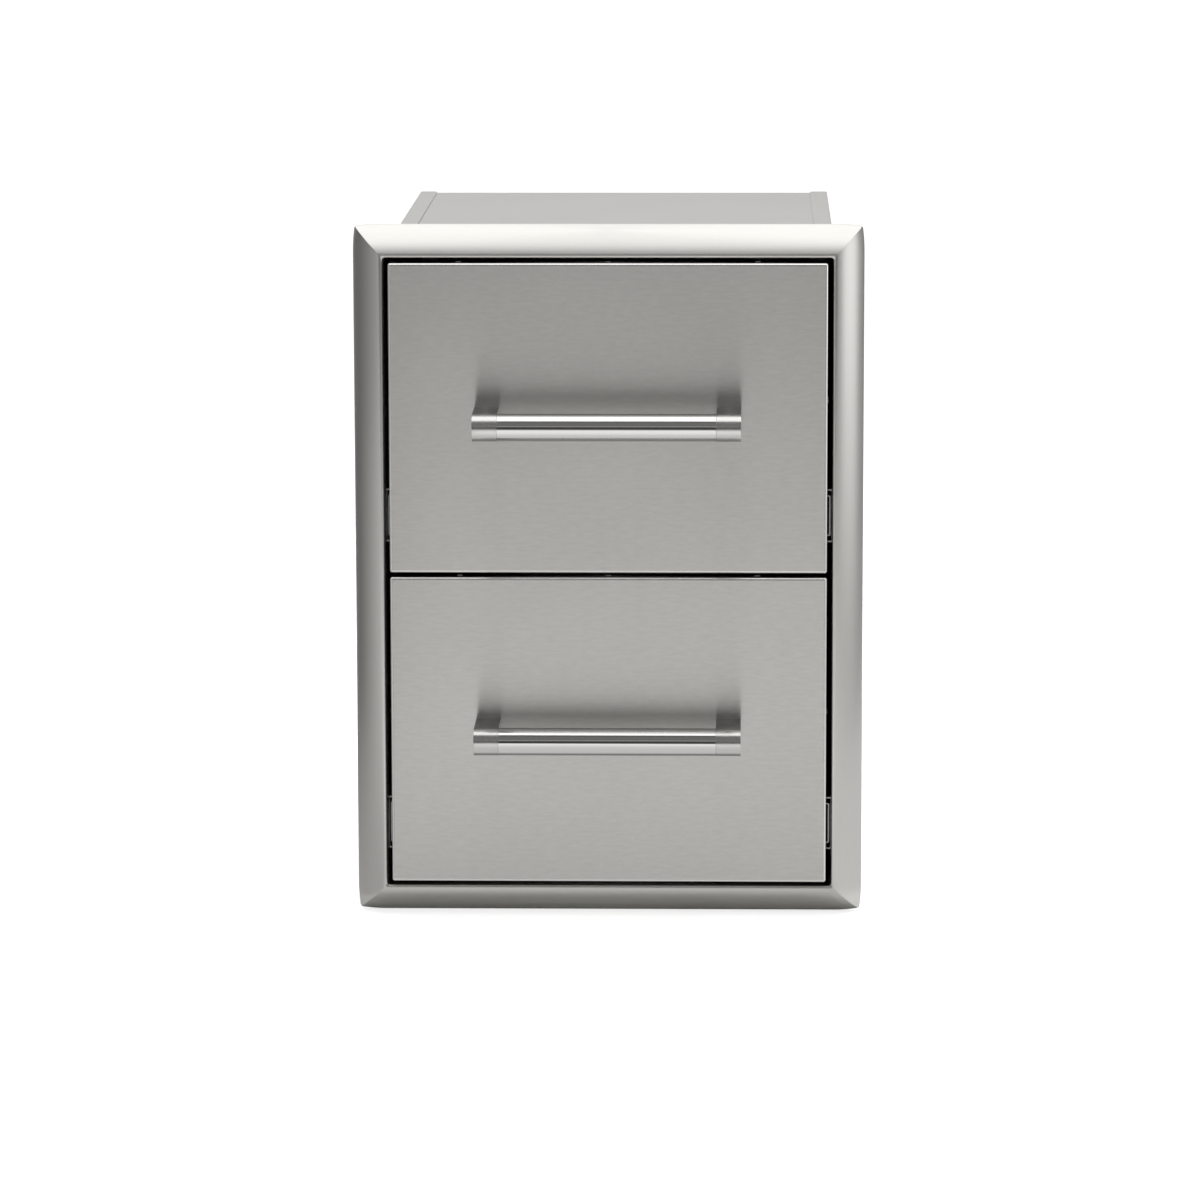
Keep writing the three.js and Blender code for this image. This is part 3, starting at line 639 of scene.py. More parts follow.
def rail_line():
    """Hem, Bezier curve ((1-t)^3, 3(1-t)^2 t, 3(1-t) t^2 and t^3 of its four points), nose, lip and
    return, as distances in from the outer edge and heights above the wall."""
    hem = [(RAIL_HEM_WIDTH, 0), (0, 0), (0, 2 * RAIL_HEM_RADIUS)]
    t = np.linspace(0, 1, RAIL_CURVE_STEPS + 1)[1:-1, None]
    shares = np.hstack([(1 - t) ** 3, 3 * (1 - t) ** 2 * t, 3 * (1 - t) * t**2, t**3])
    curve = shares @ np.array([hem[-1], RAIL_RISE, RAIL_CROWN, RAIL_NOSE])
    nose = [RAIL_NOSE, RAIL_LIP, (RAIL_WIDTH, -RAIL_RETURN)]
    return np.vstack([bent_line(hem, RAIL_HEM_RADIUS)[:-1], curve, bent_line(nose, RAIL_LIP_RADIUS)])

# %% Mitred rails
OUTER_CORNER = 2.2 * MM
INNER_CORNER = 2.6 * MM
INNER_CORNER_SPREAD = 4 * MM
CORNER_PULL = 1.6 * MM
CORNER_PULL_REACH = 24 * MM
MITRE_GAP = 0.1 * MM
CORNER_LEAST = MITRE_GAP / 5
CORNER_STEPS = 6
PULL_STEPS = 8


def corner_radius(inset):
    """The radius of the arc at each distance in from the edge: R_out - inset outside, and R_in s^2
    (3 - 2 s) inside, where s runs from 0 to 1 over the last few millimetres before the lip."""
    outside = np.clip(OUTER_CORNER - inset, 0, None)
    share = np.clip((inset - (RAIL_WIDTH - INNER_CORNER_SPREAD)) / INNER_CORNER_SPREAD, 0, 1)
    return np.maximum(outside, INNER_CORNER * share**2 * (3 - 2 * share)) + CORNER_LEAST


def pulled_in(from_side, from_edge):
    """Grinding leaves the corner a little short: a point moves in from its edge by
    pull (1 - from_edge / reach)^2 (1 - from_side / reach)^2, the same on both sides of the mitre."""
    side_fade = np.clip(1 - from_side / CORNER_PULL_REACH, 0, 1) ** 2
    edge_fade = np.clip(1 - from_edge / CORNER_PULL_REACH, 0, 1) ** 2
    return CORNER_PULL * side_fade * edge_fade


def mitred_rail(half_run, origin, directions):
    """A sheet section carried along a rail. At an angle a of the corner's arc, from 45 to 90 degrees, a
    point lies inset + R (1 - cos a) from the corner's side, and is drawn in by R (1 - sin a)."""
    inset, height = sheet_section(rail_line(), RAIL_SHEET).T
    radius = corner_radius(inset)
    angle = np.linspace(math.pi / 4, math.pi / 2, CORNER_STEPS + 1)[:, None]
    from_side = inset + radius * (1 - np.cos(angle))
    from_edge = inset + radius * (1 - np.sin(angle))
    share = (np.arange(PULL_STEPS) + 1)[:, None] / PULL_STEPS
    further = from_side[-1:] + share * CORNER_PULL_REACH
    from_side = np.vstack([from_side, further])
    from_edge = np.vstack([from_edge, np.broadcast_to(inset, further.shape)])
    pull = pulled_in(from_side, from_edge)
    run = half_run - MITRE_GAP - from_side - pull
    drawn_in = from_edge + pull
    run = np.vstack([-run, run[::-1]])
    drawn_in = np.vstack([drawn_in, drawn_in[::-1]])
    flat = np.stack([drawn_in, np.broadcast_to(height, run.shape), run], axis=-1).reshape(-1, 3)
    return swept(flat, len(run), origin, directions)

# %% Make the rails
trim_middle = (TRIM_TOP + TRIM_LOW) / 2
half_height = (TRIM_TOP - TRIM_LOW) / 2
RAILS = {
    "top": (TRIM_HALF_WIDTH, (0, 0, TRIM_TOP), "-z -y +x", "level_rail"),
    "bottom": (TRIM_HALF_WIDTH, (0, 0, TRIM_LOW), "+z -y +x", "level_rail"),
    "left": (half_height, (-TRIM_HALF_WIDTH, 0, trim_middle), "+x -y +z", "upright_rail"),
    "right": (half_height, (TRIM_HALF_WIDTH, 0, trim_middle), "-x -y +z", "upright_rail"),
}
for word, (*run, finish) in RAILS.items():
    make_piece("rail_" + word, [mitred_rail(*run)], "cabinet", finish, ["trim_rail_" + word])
print("rail section:", len(rail_line()), "points,", round(RAIL_WIDTH / MM, 1), "mm wide")

# %% [markdown]
# ## The cabinet
# Each cabinet side is one sheet: a tall wall with a flange turned over the top panel, one under the
# floor and one across the back. Sheet can't fold into a closed corner, so the flanges stop short of
# each other, and their free corners are rounded off. The top and bottom folds share one section
# that runs from front to back. The rear fold is a second section that runs upwards.

# %% Cabinet sheets
CABINET_SHEET = 0.9 * MM
CABINET_BEND = 1.6 * MM
FLANGE_CORNER = 4 * MM
PANEL_EDGE = 0.3 * MM
PANEL_CORNER = 0.6 * MM
side_low, side_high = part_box("cabinet_side_right")
cabinet_wall = side_high.x - CABINET_SHEET


def round_off(section, tip, corner):
    """How much shorter than the run a point ends, on a circle at the flange's free corner."""
    along = np.clip(corner - (section[:, 0] - tip), 0, corner)
    return corner - np.sqrt(np.maximum(corner**2 - along**2, 0))


def cabinet_side(side):
    """The wall with its top and bottom flanges is one folded sheet, with more points near the tips of
    its flanges for their rounded corners. The rear flange is a second one, which runs upwards."""
    outer = side_high.x
    tip = side_low.x
    fold_end = side_high.y - CABINET_BEND - HOLD
    rounding = tip + FLANGE_CORNER * np.linspace(0, 1, ROUND_STEPS + 1)
    top_tip = [(place, side_high.z) for place in rounding]
    low_tip = [(place, side_low.z) for place in rounding[::-1]]
    folds = bent_line([top_tip[-1], (outer, side_high.z), (outer, side_low.z), low_tip[0]], CABINET_BEND)
    long_folds = folded_sheet(
        np.vstack([top_tip[:-1], folds, low_tip[1:]]),
        CABINET_SHEET,
        side_low.y,
        lambda section: fold_end - round_off(section, tip, FLANGE_CORNER),
        (0, 0, 0),
        side + "x +z +y",
    )
    rear_line = bent_line([(tip, side_high.y), (outer, side_high.y), (outer, fold_end)], CABINET_BEND)
    clear = CABINET_BEND + FLANGE_CORNER
    rear_ends = (side_low.z + clear, side_high.z - clear)
    return [long_folds, folded_sheet(rear_line, CABINET_SHEET, *rear_ends, (0, 0, 0), side + "x +y +z")]

# %% Fixing holes
FIXING_HOLE_RADIUS = 2.5 * MM
FIXING_HOLE_SETBACK = 24 * MM
FIXING_HOLE_SHARES = (0.25, 0.75)
CUT_OVERRUN = 2 * MM


def fixing_holes(side):
    """Round cutters through the wall, at shares of its height."""
    run = (cabinet_wall - CUT_OVERRUN, side_high.x + CUT_OVERRUN)
    heights = [side_low.z + share * (side_high.z - side_low.z) for share in FIXING_HOLE_SHARES]
    places = [(0, FIXING_HOLE_SETBACK, height) for height in heights]
    return [round_bar(FIXING_HOLE_RADIUS, *run, place, "+y +z " + side + "x") for place in places]

# %% Make the cabinet
def make_panel(node, body, shells):
    """A panel of the cabinet or of a drawer box."""
    make_piece("sheet_" + node, shells, body, "sheet_across", [node])


def flat_panel(node, body, run="z"):
    """A panel that is one flat plate and fills its node's box."""
    make_panel(node, body, [plate(*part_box(node), PANEL_CORNER, PANEL_EDGE, run)])


for word, side in SIDES.items():
    node = "cabinet_side_" + word
    shells = cabinet_side(side)
    make_piece("sheet_" + node, shells, "cabinet", "sheet", [node], fixing_holes(side))
flat_panel("cabinet_top_panel", "cabinet")
flat_panel("cabinet_floor_panel", "cabinet")

low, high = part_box("cabinet_back_panel")
corners = [(low.y, high.z), (high.y, high.z), (high.y, low.z), (low.y, low.z)]
back_line = bent_line(corners, CABINET_BEND)
back_panel = folded_sheet(back_line, CABINET_SHEET, low.x, high.x, (0, 0, 0), "+y +z +x")
make_panel("cabinet_back_panel", "cabinet", [back_panel])
print("cabinet:", round((side_high.y - side_low.y) / MM), "mm deep")

# %% [markdown]
# ## The drawer faces
# A drawer face is a shallow pan of brushed steel, with a second, thinner pan nested in it from behind.
# From its rim a pan runs to its front, round a tight bend and across, and the same again on the inside,
# one sheet thickness in: a stack of rounded rectangles with a cap on the front and a cap inside. The
# liner is the same stack turned to face the other way, with two holes through which a driver reaches
# the handle's screws. Blind rivets hold the two pans together, and their round heads stand in the gaps
# round the face.

# %% Face pans and liners
FACE_SHEET = 1.2 * MM
FACE_EDGE = 2.4 * MM
FACE_CORNER = 2 * MM
LINER_SHEET = 0.9 * MM
LINER_EDGE = 1.2 * MM
LINER_CORNER = 1.6 * MM
LINER_ACCESS_RADIUS = 7 * MM
PAN_INNER_EDGE = 0.4 * MM


def pan(node, sheet, edge, corner, facing):
    """A pan between its front, at depth 0, and its rim, facing along -y or +y."""
    low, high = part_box(node)
    depth = high.y - low.y
    outer_inset, outer_depth = quarter(edge)
    inner_inset, inner_depth = quarter(PAN_INNER_EDGE)
    turn = sheet + PAN_INNER_EDGE + HOLD
    insets = np.r_[turn, sheet + inner_inset[::-1], sheet, sheet, 0, 0, outer_inset, edge + HOLD]
    depths = np.r_[sheet, sheet + inner_depth[::-1], turn, depth, depth, edge + HOLD, outer_depth, 0]
    half_height = (high.z - low.z) / 2
    front, inward = (low.y, "+y") if facing == "-y" else (high.y, "-y")
    outlines = rounded_rectangle(high.x, half_height, corner, insets)
    return stacked(outlines, depths, (0, front, low.z + half_height), "+x +z " + inward)


def across_handle(level):
    """The places of the two handle screws, from the frame."""
    boxes = [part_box(level + "_handle_screw_" + word) for word in ("left", "right")]
    return [(low + high) / 2 for low, high in boxes]

# %% Rivets round the faces
FACE_RIVET_RADIUS = 2.9 * MM
FACE_RIVET_HEIGHT = 1.1 * MM
FACE_RIVET_SPREAD = 127 * MM
FACE_RIVET_HEIGHT_SHARE = 0.556
FACE_RIVET_SETBACK = 13 * MM


def face_rivets(node):
    """Three heads along the top and the bottom of a face, and one on each side."""
    low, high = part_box(node)
    place_y = low.y + FACE_RIVET_SETBACK
    side_z = low.z + FACE_RIVET_HEIGHT_SHARE * (high.z - low.z)
    places = [((high.x, place_y, side_z), "+y +z +x"), ((low.x, place_y, side_z), "+z +y -x")]
    for x in (-FACE_RIVET_SPREAD, 0, FACE_RIVET_SPREAD):
        places += [((x, place_y, high.z), "+x +y +z"), ((x, place_y, low.z), "+y +x -z")]
    return [dome(FACE_RIVET_RADIUS, FACE_RIVET_HEIGHT, *place) for place in places]

# %% Make the faces
for level in LEVELS:
    body = level + "_drawer"
    node = body + "_face_pan"
    face = pan(node, FACE_SHEET, FACE_EDGE, FACE_CORNER, "-y")
    # The face's bends are marked for a lower roughness and a painted highlight.
    mark_places(make_piece(level + "_face", [face], body, "face", [node]), "bend", bends)
    make_piece(level + "_face_rivets", face_rivets(node), body, "rivet")
    liner_node = body + "_face_liner"
    liner_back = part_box(liner_node)[1].y
    liner = pan(liner_node, LINER_SHEET, LINER_EDGE, LINER_CORNER, "+y")
    run = (liner_back - LINER_SHEET - CUT_OVERRUN, liner_back + CUT_OVERRUN)
    places = [(place.x, 0, place.z) for place in across_handle(level)]
    reach_holes = [round_bar(LINER_ACCESS_RADIUS, *run, place, "+z +x +y") for place in places]
    make_piece(level + "_liner", [liner], body, "sheet_across", [liner_node], reach_holes)

# %% [markdown]
# ## The handles
# The bar is a tube, and each post is a flat-sided arm with a round front, as thick as the bar. Both come
# from the frame's boxes, but the bar's ends go on nearly to the posts, and their small chamfers draw the
# fine line between the two. The post is a stack of D outlines across its width.

# %% Handle bars and posts
HANDLE_WALL = 1.5 * MM
BAR_CHAMFER = 0.12 * MM
BAR_REACH = 0.25 * MM
POST_WIDTH = 21 * MM
POST_EDGE = 0.3 * MM
TUBE_STEPS = 96
ARC_STEPS = 40


def handle_bar(node):
    """The tube's profile is a ring: across one end, over a chamfer and along the outside, then the same
    at the other end, and back along the inside."""
    low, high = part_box(node)
    radius = (high.z - low.z) / 2
    half = (high.x - low.x) / 2 + BAR_REACH
    radii = [radius - HANDLE_WALL, radius - BAR_CHAMFER, radius, radius]
    places = [half, half, half - BAR_CHAMFER, half - BAR_CHAMFER - HOLD]
    places += [-place for place in places[::-1]]
    return turned(radii + radii[::-1], places, TUBE_STEPS, (low + high) / 2, "+y +z +x", ring=True)


def post_outline(radius, reach, insets):
    """A D for each inset: half a circle of radius r - inset about the bar's axis, then two straight
    sides back to the face, where the outline is drawn in by the inset too."""
    inset = np.asarray(insets, float)[:, None]
    angle = np.linspace(-math.pi / 2, math.pi / 2, ARC_STEPS + 1)
    depth = reach + (radius - inset) * np.cos(angle)
    height = (radius - inset) * np.sin(angle)
    sides = np.ones_like(inset)
    stops = np.hstack([sides * (reach - HOLD), inset + HOLD, inset])
    depth = np.hstack([stops[:, ::-1], depth, stops])
    side_height = np.repeat(radius - inset, 3, axis=1)
    height = np.hstack([-side_height, height, side_height])
    return np.stack([depth, height], axis=-1)


def handle_post(node, bar_node):
    """D outlines stacked across the post's width. The node's box holds the spigot too, so the width
    counts from the outer side."""
    low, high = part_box(node)
    bar_low, bar_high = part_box(bar_node)
    radius = (bar_high.z - bar_low.z) / 2
    reach = high.y - (bar_low.y + bar_high.y) / 2
    outer = low.x if low.x < 0 and high.x < 0 else high.x
    middle = outer - math.copysign(POST_WIDTH / 2, outer)
    insets, depths = round_edges(POST_EDGE, POST_WIDTH)
    outlines = post_outline(radius, reach, insets)
    origin = (middle - POST_WIDTH / 2, high.y, (bar_low.z + bar_high.z) / 2)
    return stacked(outlines, depths, origin, "-y +z +x")

# %% Make the handles
for level in LEVELS:
    bar_node = level + "_handle_bar"
    body = level + "_drawer"
    bar = make_piece(level + "_bar", [handle_bar(bar_node)], body, "bar", [bar_node])
    # The rear sides of the bar and its posts are marked for a rougher finish and a painted shade.
    mark_places(bar, "back", shaded_backs)
    for word in ("left", "right"):
        node = level + "_handle_post_" + word
        name = level + "_post_" + word
        post = make_piece(name, [handle_post(node, bar_node)], body, "post", [node])
        mark_places(post, "back", shaded_backs)
print("posts:", round(POST_WIDTH / MM), "mm wide, tube wall", round(HANDLE_WALL / MM, 1), "mm")

# %% [markdown]
# ## Handle screws
# A pan-head screw is a turned profile: a shank, a flat seat, a short rim and a low crown, which is a
# part of a circle. Its cross recess is cut with a bar whose outline is a cross.

# %% A screw with a cross recess
SCREW_RADIUS = 2.5 * MM
SCREW_HEAD_HEIGHT = 3.2 * MM
SCREW_RIM_SHARE = 0.45
SCREW_RECESS_WIDTH = 1.1 * MM
SCREW_RECESS_REACH_SHARE = 0.62
SCREW_RECESS_DEPTH_SHARE = 0.6
CROWN_STEPS = 6


def screw(head_radius, head_height, shank_radius, shank_length, origin, directions):
    """A screw and the cutter of its recess. The profile runs from the tip at -length over the seat at 0
    to the crown, where place = h (0.45 + 0.55 cos t) and radius = R sin t. The recess has twelve
    corners: three round the end of each arm, then a quarter turn on."""
    t = np.linspace(math.pi / 2, 0, CROWN_STEPS + 1)
    radii = [0, shank_radius, shank_radius, head_radius, *(head_radius * np.sin(t))]
    crown = head_height * (SCREW_RIM_SHARE + (1 - SCREW_RIM_SHARE) * np.cos(t))
    places = [-shank_length, -shank_length, 0, 0, *crown]
    reach = head_radius * SCREW_RECESS_REACH_SHARE
    half = SCREW_RECESS_WIDTH / 2
    arm = np.array([(reach, -half), (reach, half), (half, half)])
    quarter_turn = np.array([(0, 1), (-1, 0)])
    corners = np.vstack([arm @ np.linalg.matrix_power(quarter_turn, turns) for turns in range(4)])
    depths = [head_height * (1 - SCREW_RECESS_DEPTH_SHARE), head_height + CUT_OVERRUN]
    recess = stacked(np.stack([corners, corners]), depths, origin, directions)
    return turned(radii, places, ROUND_COUNT, origin, directions), recess

# %% Make the handle screws
for level in LEVELS:
    for word in SIDES:
        node = level + "_handle_screw_" + word
        low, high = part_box(node)
        seat = ((low.x + high.x) / 2, high.y - SCREW_HEAD_HEIGHT, (low.z + high.z) / 2)
        sizes = ((high.z - low.z) / 2, SCREW_HEAD_HEIGHT, SCREW_RADIUS, seat[1] - low.y)
        made, recess = screw(*sizes, seat, "+z +x +y")
        name = level + "_screw_" + word
        make_piece(name, [made], level + "_drawer", "zinc", [node], [recess])
print("handle screws:", [round(size / MM, 1) for size in sizes], "head radius and height, shank")

# %% [markdown]
# ## The drawer boxes
# Behind each face hangs a box. Its sides are folded like the cabinet's, with a narrow flange along the
# top, where hands go, and a wider one under the floor. Tabs at both ends take the face and the back.

# %% Drawer boxes
BOX_SHEET = 0.9 * MM
BOX_BEND = 1.4 * MM
BOX_TOP_FLANGE = 8 * MM


def box_side(node, side):
    """The long folds are one sheet from front to back. The tab at each end is another, which runs
    upwards."""
    low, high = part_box(node)
    outer = max(abs(low.x), abs(high.x))
    tip = min(abs(low.x), abs(high.x))
    corners = [(outer - BOX_TOP_FLANGE, high.z), (outer, high.z), (outer, low.z), (tip, low.z)]
    inner_low = low.y + BOX_BEND + HOLD
    inner_high = high.y - BOX_BEND - HOLD
    folds = bent_line(corners, BOX_BEND)
    shells = [folded_sheet(folds, BOX_SHEET, inner_low, inner_high, (0, 0, 0), side + "x +z +y")]
    clear = BOX_BEND + FLANGE_CORNER / 2
    ends = (
        [(outer, inner_low), (outer, low.y), (tip, low.y)],
        [(tip, high.y), (outer, high.y), (outer, inner_high)],
    )
    for corners in ends:
        line = bent_line(corners, BOX_BEND)
        run = (low.z + clear, high.z - clear)
        shells.append(folded_sheet(line, BOX_SHEET, *run, (0, 0, 0), side + "x +y +z"))
    return shells

# %% Make the drawer boxes
for level in LEVELS:
    body = level + "_drawer"
    for word, side in SIDES.items():
        node = body + "_side_" + word
        make_piece("sheet_" + node, box_side(node, side), body, "sheet", [node])
    flat_panel(body + "_floor", body)
    flat_panel(body + "_back", body, "y")

# %% [markdown]
# ## The ball slides
# A full-extension slide is three channels of zinc-plated steel in one another: the outer one on the
# cabinet wall, the middle one that travels half as far as the drawer, and the inner one on the drawer.
# Their flanges end in a small lip, which keeps the balls in. Two rows of balls run between each two
# channels, spaced by a thin cage. A channel could be a box with its inside cut out, but as one folded
# section it gets its bends and lips at once. Slots and holes for the screws are cut through its web. The
# lever's rivet sits in the middle of the inner channel, which has no slot there.

# %% Slide channels
SLIDE_SHEET = 1.2 * MM
SLIDE_BEND = 1.4 * MM
SLIDE_LIP = 1.7 * MM
SLOT_HALF_LENGTH = 5 * MM
SLOT_HALF_HEIGHT = 2.3 * MM
ROUND_END = 0.98
SLOT_SHARES = (0.06, 0.24, 0.5, 0.76, 0.94)
SLOTS_BESIDE_LEVER = (0.06, 0.24, 0.76, 0.94)
ROUND_HOLE_SHARES = (0.13, 0.4, 0.62, 0.86)
ROUND_HOLE_RADIUS = 2.2 * MM


def slide_box(node):
    """The near and far places across a slide, counted from the middle of the unit, its two ends, its
    middle and half height, and its directions: along, upwards and away from the middle."""
    low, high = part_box(node)
    near, far = sorted((abs(low.x), abs(high.x)))
    directions = "+y +z " + ("-" if low.x < 0 else "+") + "x"
    return near, far, low.y, high.y, (low.z + high.z) / 2, (high.z - low.z) / 2, directions


def channel_sheet(corners, bend, sheet, node):
    """A channel folded along corners given as places across the slide and heights from its middle."""
    near, far, front, back, height, half, directions = slide_box(node)
    along, upward, outward = directions.split()
    run = " ".join((outward, upward, along))
    return folded_sheet(bent_line(corners, bend), sheet, front, back, (0, 0, height), run)


def channel(node, web_outside):
    """The section runs from lip to lip round the web, always with the channel's inside on its right."""
    near, far, front, back, height, half, directions = slide_box(node)
    web, tip = (far, near) if web_outside else (near, far)
    corners = [(tip, half - SLIDE_LIP), (tip, half), (web, half)]
    corners += [(across, -up) for across, up in corners[::-1]]
    return channel_sheet(corners if web_outside else corners[::-1], SLIDE_BEND, SLIDE_SHEET, node)


def web_cutters(node, slot_shares):
    """Slots along the web, and round holes between them."""
    near, far, front, back, height, half, directions = slide_box(node)
    depths = [near - CUT_OVERRUN, far + CUT_OVERRUN]
    slot = rounded_rectangle(SLOT_HALF_LENGTH, SLOT_HALF_HEIGHT, SLOT_HALF_HEIGHT * ROUND_END, [0, 0])
    slots = [(0, front + share * (back - front), height) for share in slot_shares]
    holes = [(0, front + share * (back - front), height) for share in ROUND_HOLE_SHARES]
    cutters = [stacked(slot, depths, place, directions) for place in slots]
    return cutters + [round_bar(ROUND_HOLE_RADIUS, *depths, place, directions) for place in holes]

# %% [markdown]
# ## Ball cages
# A cage keeps its balls at even distances: a thin strip, folded like a channel, with windows in its web.
# Each ball could be a sphere of Blender's own, but then every one would be an object that has to ride
# along. As turned profiles in one mesh, the balls of a cage are a single piece.

# %% Ball cages
CAGE_SHEET = 0.5 * MM
CAGE_BEND = 0.7 * MM
BALL_RADIUS = 1.7 * MM
BALL_COUNT = 12
BALL_STEPS = 10
BALL_RINGS = 6
WINDOW_COUNT = 5
WINDOW_HALF_LENGTH = 11 * MM
WINDOW_HEIGHT_SHARE = 0.4
WINDOW_CORNER = 3 * MM
CAGE_DEPTH_SHARE = 0.85


def ball(origin):
    """A ball as a profile turned about Y: radius r sin t at place -r cos t."""
    t = np.linspace(0, math.pi, BALL_RINGS + 1)
    radii = BALL_RADIUS * np.sin(t)
    radii[[0, -1]] = 0
    return turned(radii, -BALL_RADIUS * np.cos(t), BALL_STEPS, origin, "+z +x +y")


def cage_strip(node):
    """A thin channel whose flanges lie in the two rows of balls."""
    near, far, front, back, height, half, directions = slide_box(node)
    flange = half - BALL_RADIUS + CAGE_SHEET / 2
    tip = far - (far - near) * CAGE_DEPTH_SHARE
    corners = [(tip, flange), (far, flange), (far, -flange), (tip, -flange)]
    return channel_sheet(corners, CAGE_BEND, CAGE_SHEET, node)


def evenly(count, front, back):
    """The middles of equal parts of a run."""
    return front + (np.arange(count) + 0.5) / count * (back - front)


def cage_windows(node):
    """Rounded windows through the strip, in the middles of equal parts."""
    near, far, front, back, height, half, directions = slide_box(node)
    window = rounded_rectangle(WINDOW_HALF_LENGTH, half * WINDOW_HEIGHT_SHARE, WINDOW_CORNER, [0, 0])
    depths = [far - 2 * CAGE_SHEET, far + CAGE_SHEET]
    places = evenly(WINDOW_COUNT, front, back)
    return [stacked(window, depths, (0, place, height), directions) for place in places]


def cage_balls(node):
    """Two rows, against the near side of the cage's box and its top or bottom."""
    near, far, front, back, height, half, directions = slide_box(node)
    across = float(directions[-2] + "1") * (near + BALL_RADIUS)
    rows = (height - half + BALL_RADIUS, height + half - BALL_RADIUS)
    return [ball((across, place, row)) for row in rows for place in evenly(BALL_COUNT, front, back)]

# %% [markdown]
# ## Release levers
# A small plastic lever on each drawer member lets the drawer come out of its slides. It turns about a
# rivet, so the lever rides on a body of its own and the rivet on the drawer. The ridges under the finger
# could be a bump in the material, but they show from the side, so they are small stacks that start
# inside the strip and stand out of it.

# %% Release levers
LEVER_EDGE = 0.3 * MM
LEVER_RIVET_HEAD_RADIUS = 3.5 * MM
LEVER_RIVET_HEAD_HEIGHT = 1.2 * MM
LEVER_RIVET_RADIUS = 2.0 * MM
LEVER_CLEARANCE = 0.3 * MM
LEVER_RELIEF = 0.35 * MM
RIDGE_COUNT = 6
RIDGE_PITCH = 1.8 * MM
RIDGE_HALF_WIDTH = 0.45 * MM
RIDGE_ROUND_END = 0.9


def lever_shells(node):
    """A strip with round ends, and ridges under the finger at its front end."""
    near, far, front, back, height, half, directions = slide_box(node)
    start = float(directions[-2] + "1") * near
    inset, depth = quarter(LEVER_EDGE)
    top = far - near - LEVER_RELIEF
    insets = np.r_[LEVER_EDGE + HOLD, LEVER_EDGE, 0, inset, LEVER_EDGE + HOLD]
    depths = np.r_[0, 0, LEVER_EDGE, top - depth, top]
    strip = rounded_rectangle((back - front) / 2, half, half * ROUND_END, insets)
    shells = [stacked(strip, depths, (start, (front + back) / 2, height), directions)]
    ridge_insets = [0, 0, LEVER_EDGE / 2]
    ridge_size = (RIDGE_HALF_WIDTH, half - 4 * LEVER_EDGE, RIDGE_HALF_WIDTH * RIDGE_ROUND_END)
    ridge = rounded_rectangle(*ridge_size, ridge_insets)
    depths = [top / 2, top + LEVER_RELIEF / 2, top + LEVER_RELIEF]
    for i in range(RIDGE_COUNT):
        place = front + half + (i + 0.5) * RIDGE_PITCH
        shells.append(stacked(ridge, depths, (start, place, height), directions))
    return shells


def lever_bore(node):
    """The hole for the rivet, wider than its shank by the clearance."""
    near, far, front, back, height, half, directions = slide_box(node)
    place = (0, (front + back) / 2, height)
    radius = LEVER_RIVET_RADIUS + LEVER_CLEARANCE
    return round_bar(radius, near - CUT_OVERRUN, far + CUT_OVERRUN, place, directions)


def lever_rivet(lever_node, member_node):
    """The rivet that the lever turns on: a shank from the drawer member's web, and a low head."""
    near, far, front, back, height, half, directions = slide_box(lever_node)
    web = slide_box(member_node)[0] + SLIDE_SHEET / 2
    seat = far + LEVER_CLEARANCE
    head = seat + LEVER_RIVET_HEAD_HEIGHT
    edge = LEVER_RIVET_HEAD_HEIGHT / 3
    shank = LEVER_RIVET_RADIUS
    rim = LEVER_RIVET_HEAD_RADIUS
    radii = [0, shank, shank, rim, rim, rim - edge, 0]
    places = [web, web, seat, seat, head - edge, head, head]
    return turned(radii, places, ROUND_COUNT, (0, (front + back) / 2, height), directions)

# %% Make the slides
for level in LEVELS:
    for word in SIDES:
        slide = level + "_slide_" + word
        lever = slide + "_release_lever"
        members = (
            ("cabinet_member", "cabinet", True, SLOT_SHARES),
            ("middle_member", slide + "_middle_member_body", True, SLOT_SHARES),
            ("drawer_member", level + "_drawer", False, SLOTS_BESIDE_LEVER),
        )
        for part, body, web_outside, slot_shares in members:
            node = slide + "_" + part
            shells = [channel(node, web_outside)]
            cutters = web_cutters(node, slot_shares)
            make_piece(node + "_channel", shells, body, "zinc", [node], cutters)
        rivet = [lever_rivet(lever, slide + "_drawer_member")]
        make_piece(lever + "_rivet", rivet, level + "_drawer", "rivet")
        for node in (slide + "_outer_cage", slide + "_inner_cage"):
            body = node + "_body"
            windows = cage_windows(node)
            make_piece(node + "_strip", [cage_strip(node)], body, "cage", [node], windows)
            make_piece(node + "_balls", cage_balls(node), body, "ball")
        body = slide + "_lever_body"
        shells = lever_shells(lever)
        make_piece(lever + "_strip", shells, body, "plastic", [lever], [lever_bore(lever)])
print("slides: 4, with", 16 * BALL_COUNT, "balls")

# %% [markdown]
# ## Fasteners of the sheets
# Rivets hold the slides to the cabinet walls, where their heads show outside. Inside each drawer, screw
# heads hold the slides to its sides and the tabs of its box to the liner.

# %% Rivets and screw heads
SLIDE_RIVET_RADIUS = 3.6 * MM
SLIDE_RIVET_HEIGHT = 1.3 * MM
SLIDE_RIVET_SHARES = (0.06, 0.5, 0.94)
BOX_SCREW_RADIUS = 3.4 * MM
BOX_SCREW_HEIGHT = 1.9 * MM
BOX_SCREW_SHARES = (0.06, 0.4, 0.91)
TAB_SCREW_SHARES = (0.12, 0.5, 0.88)
TAB_SCREW_REACH_SHARE = 0.55


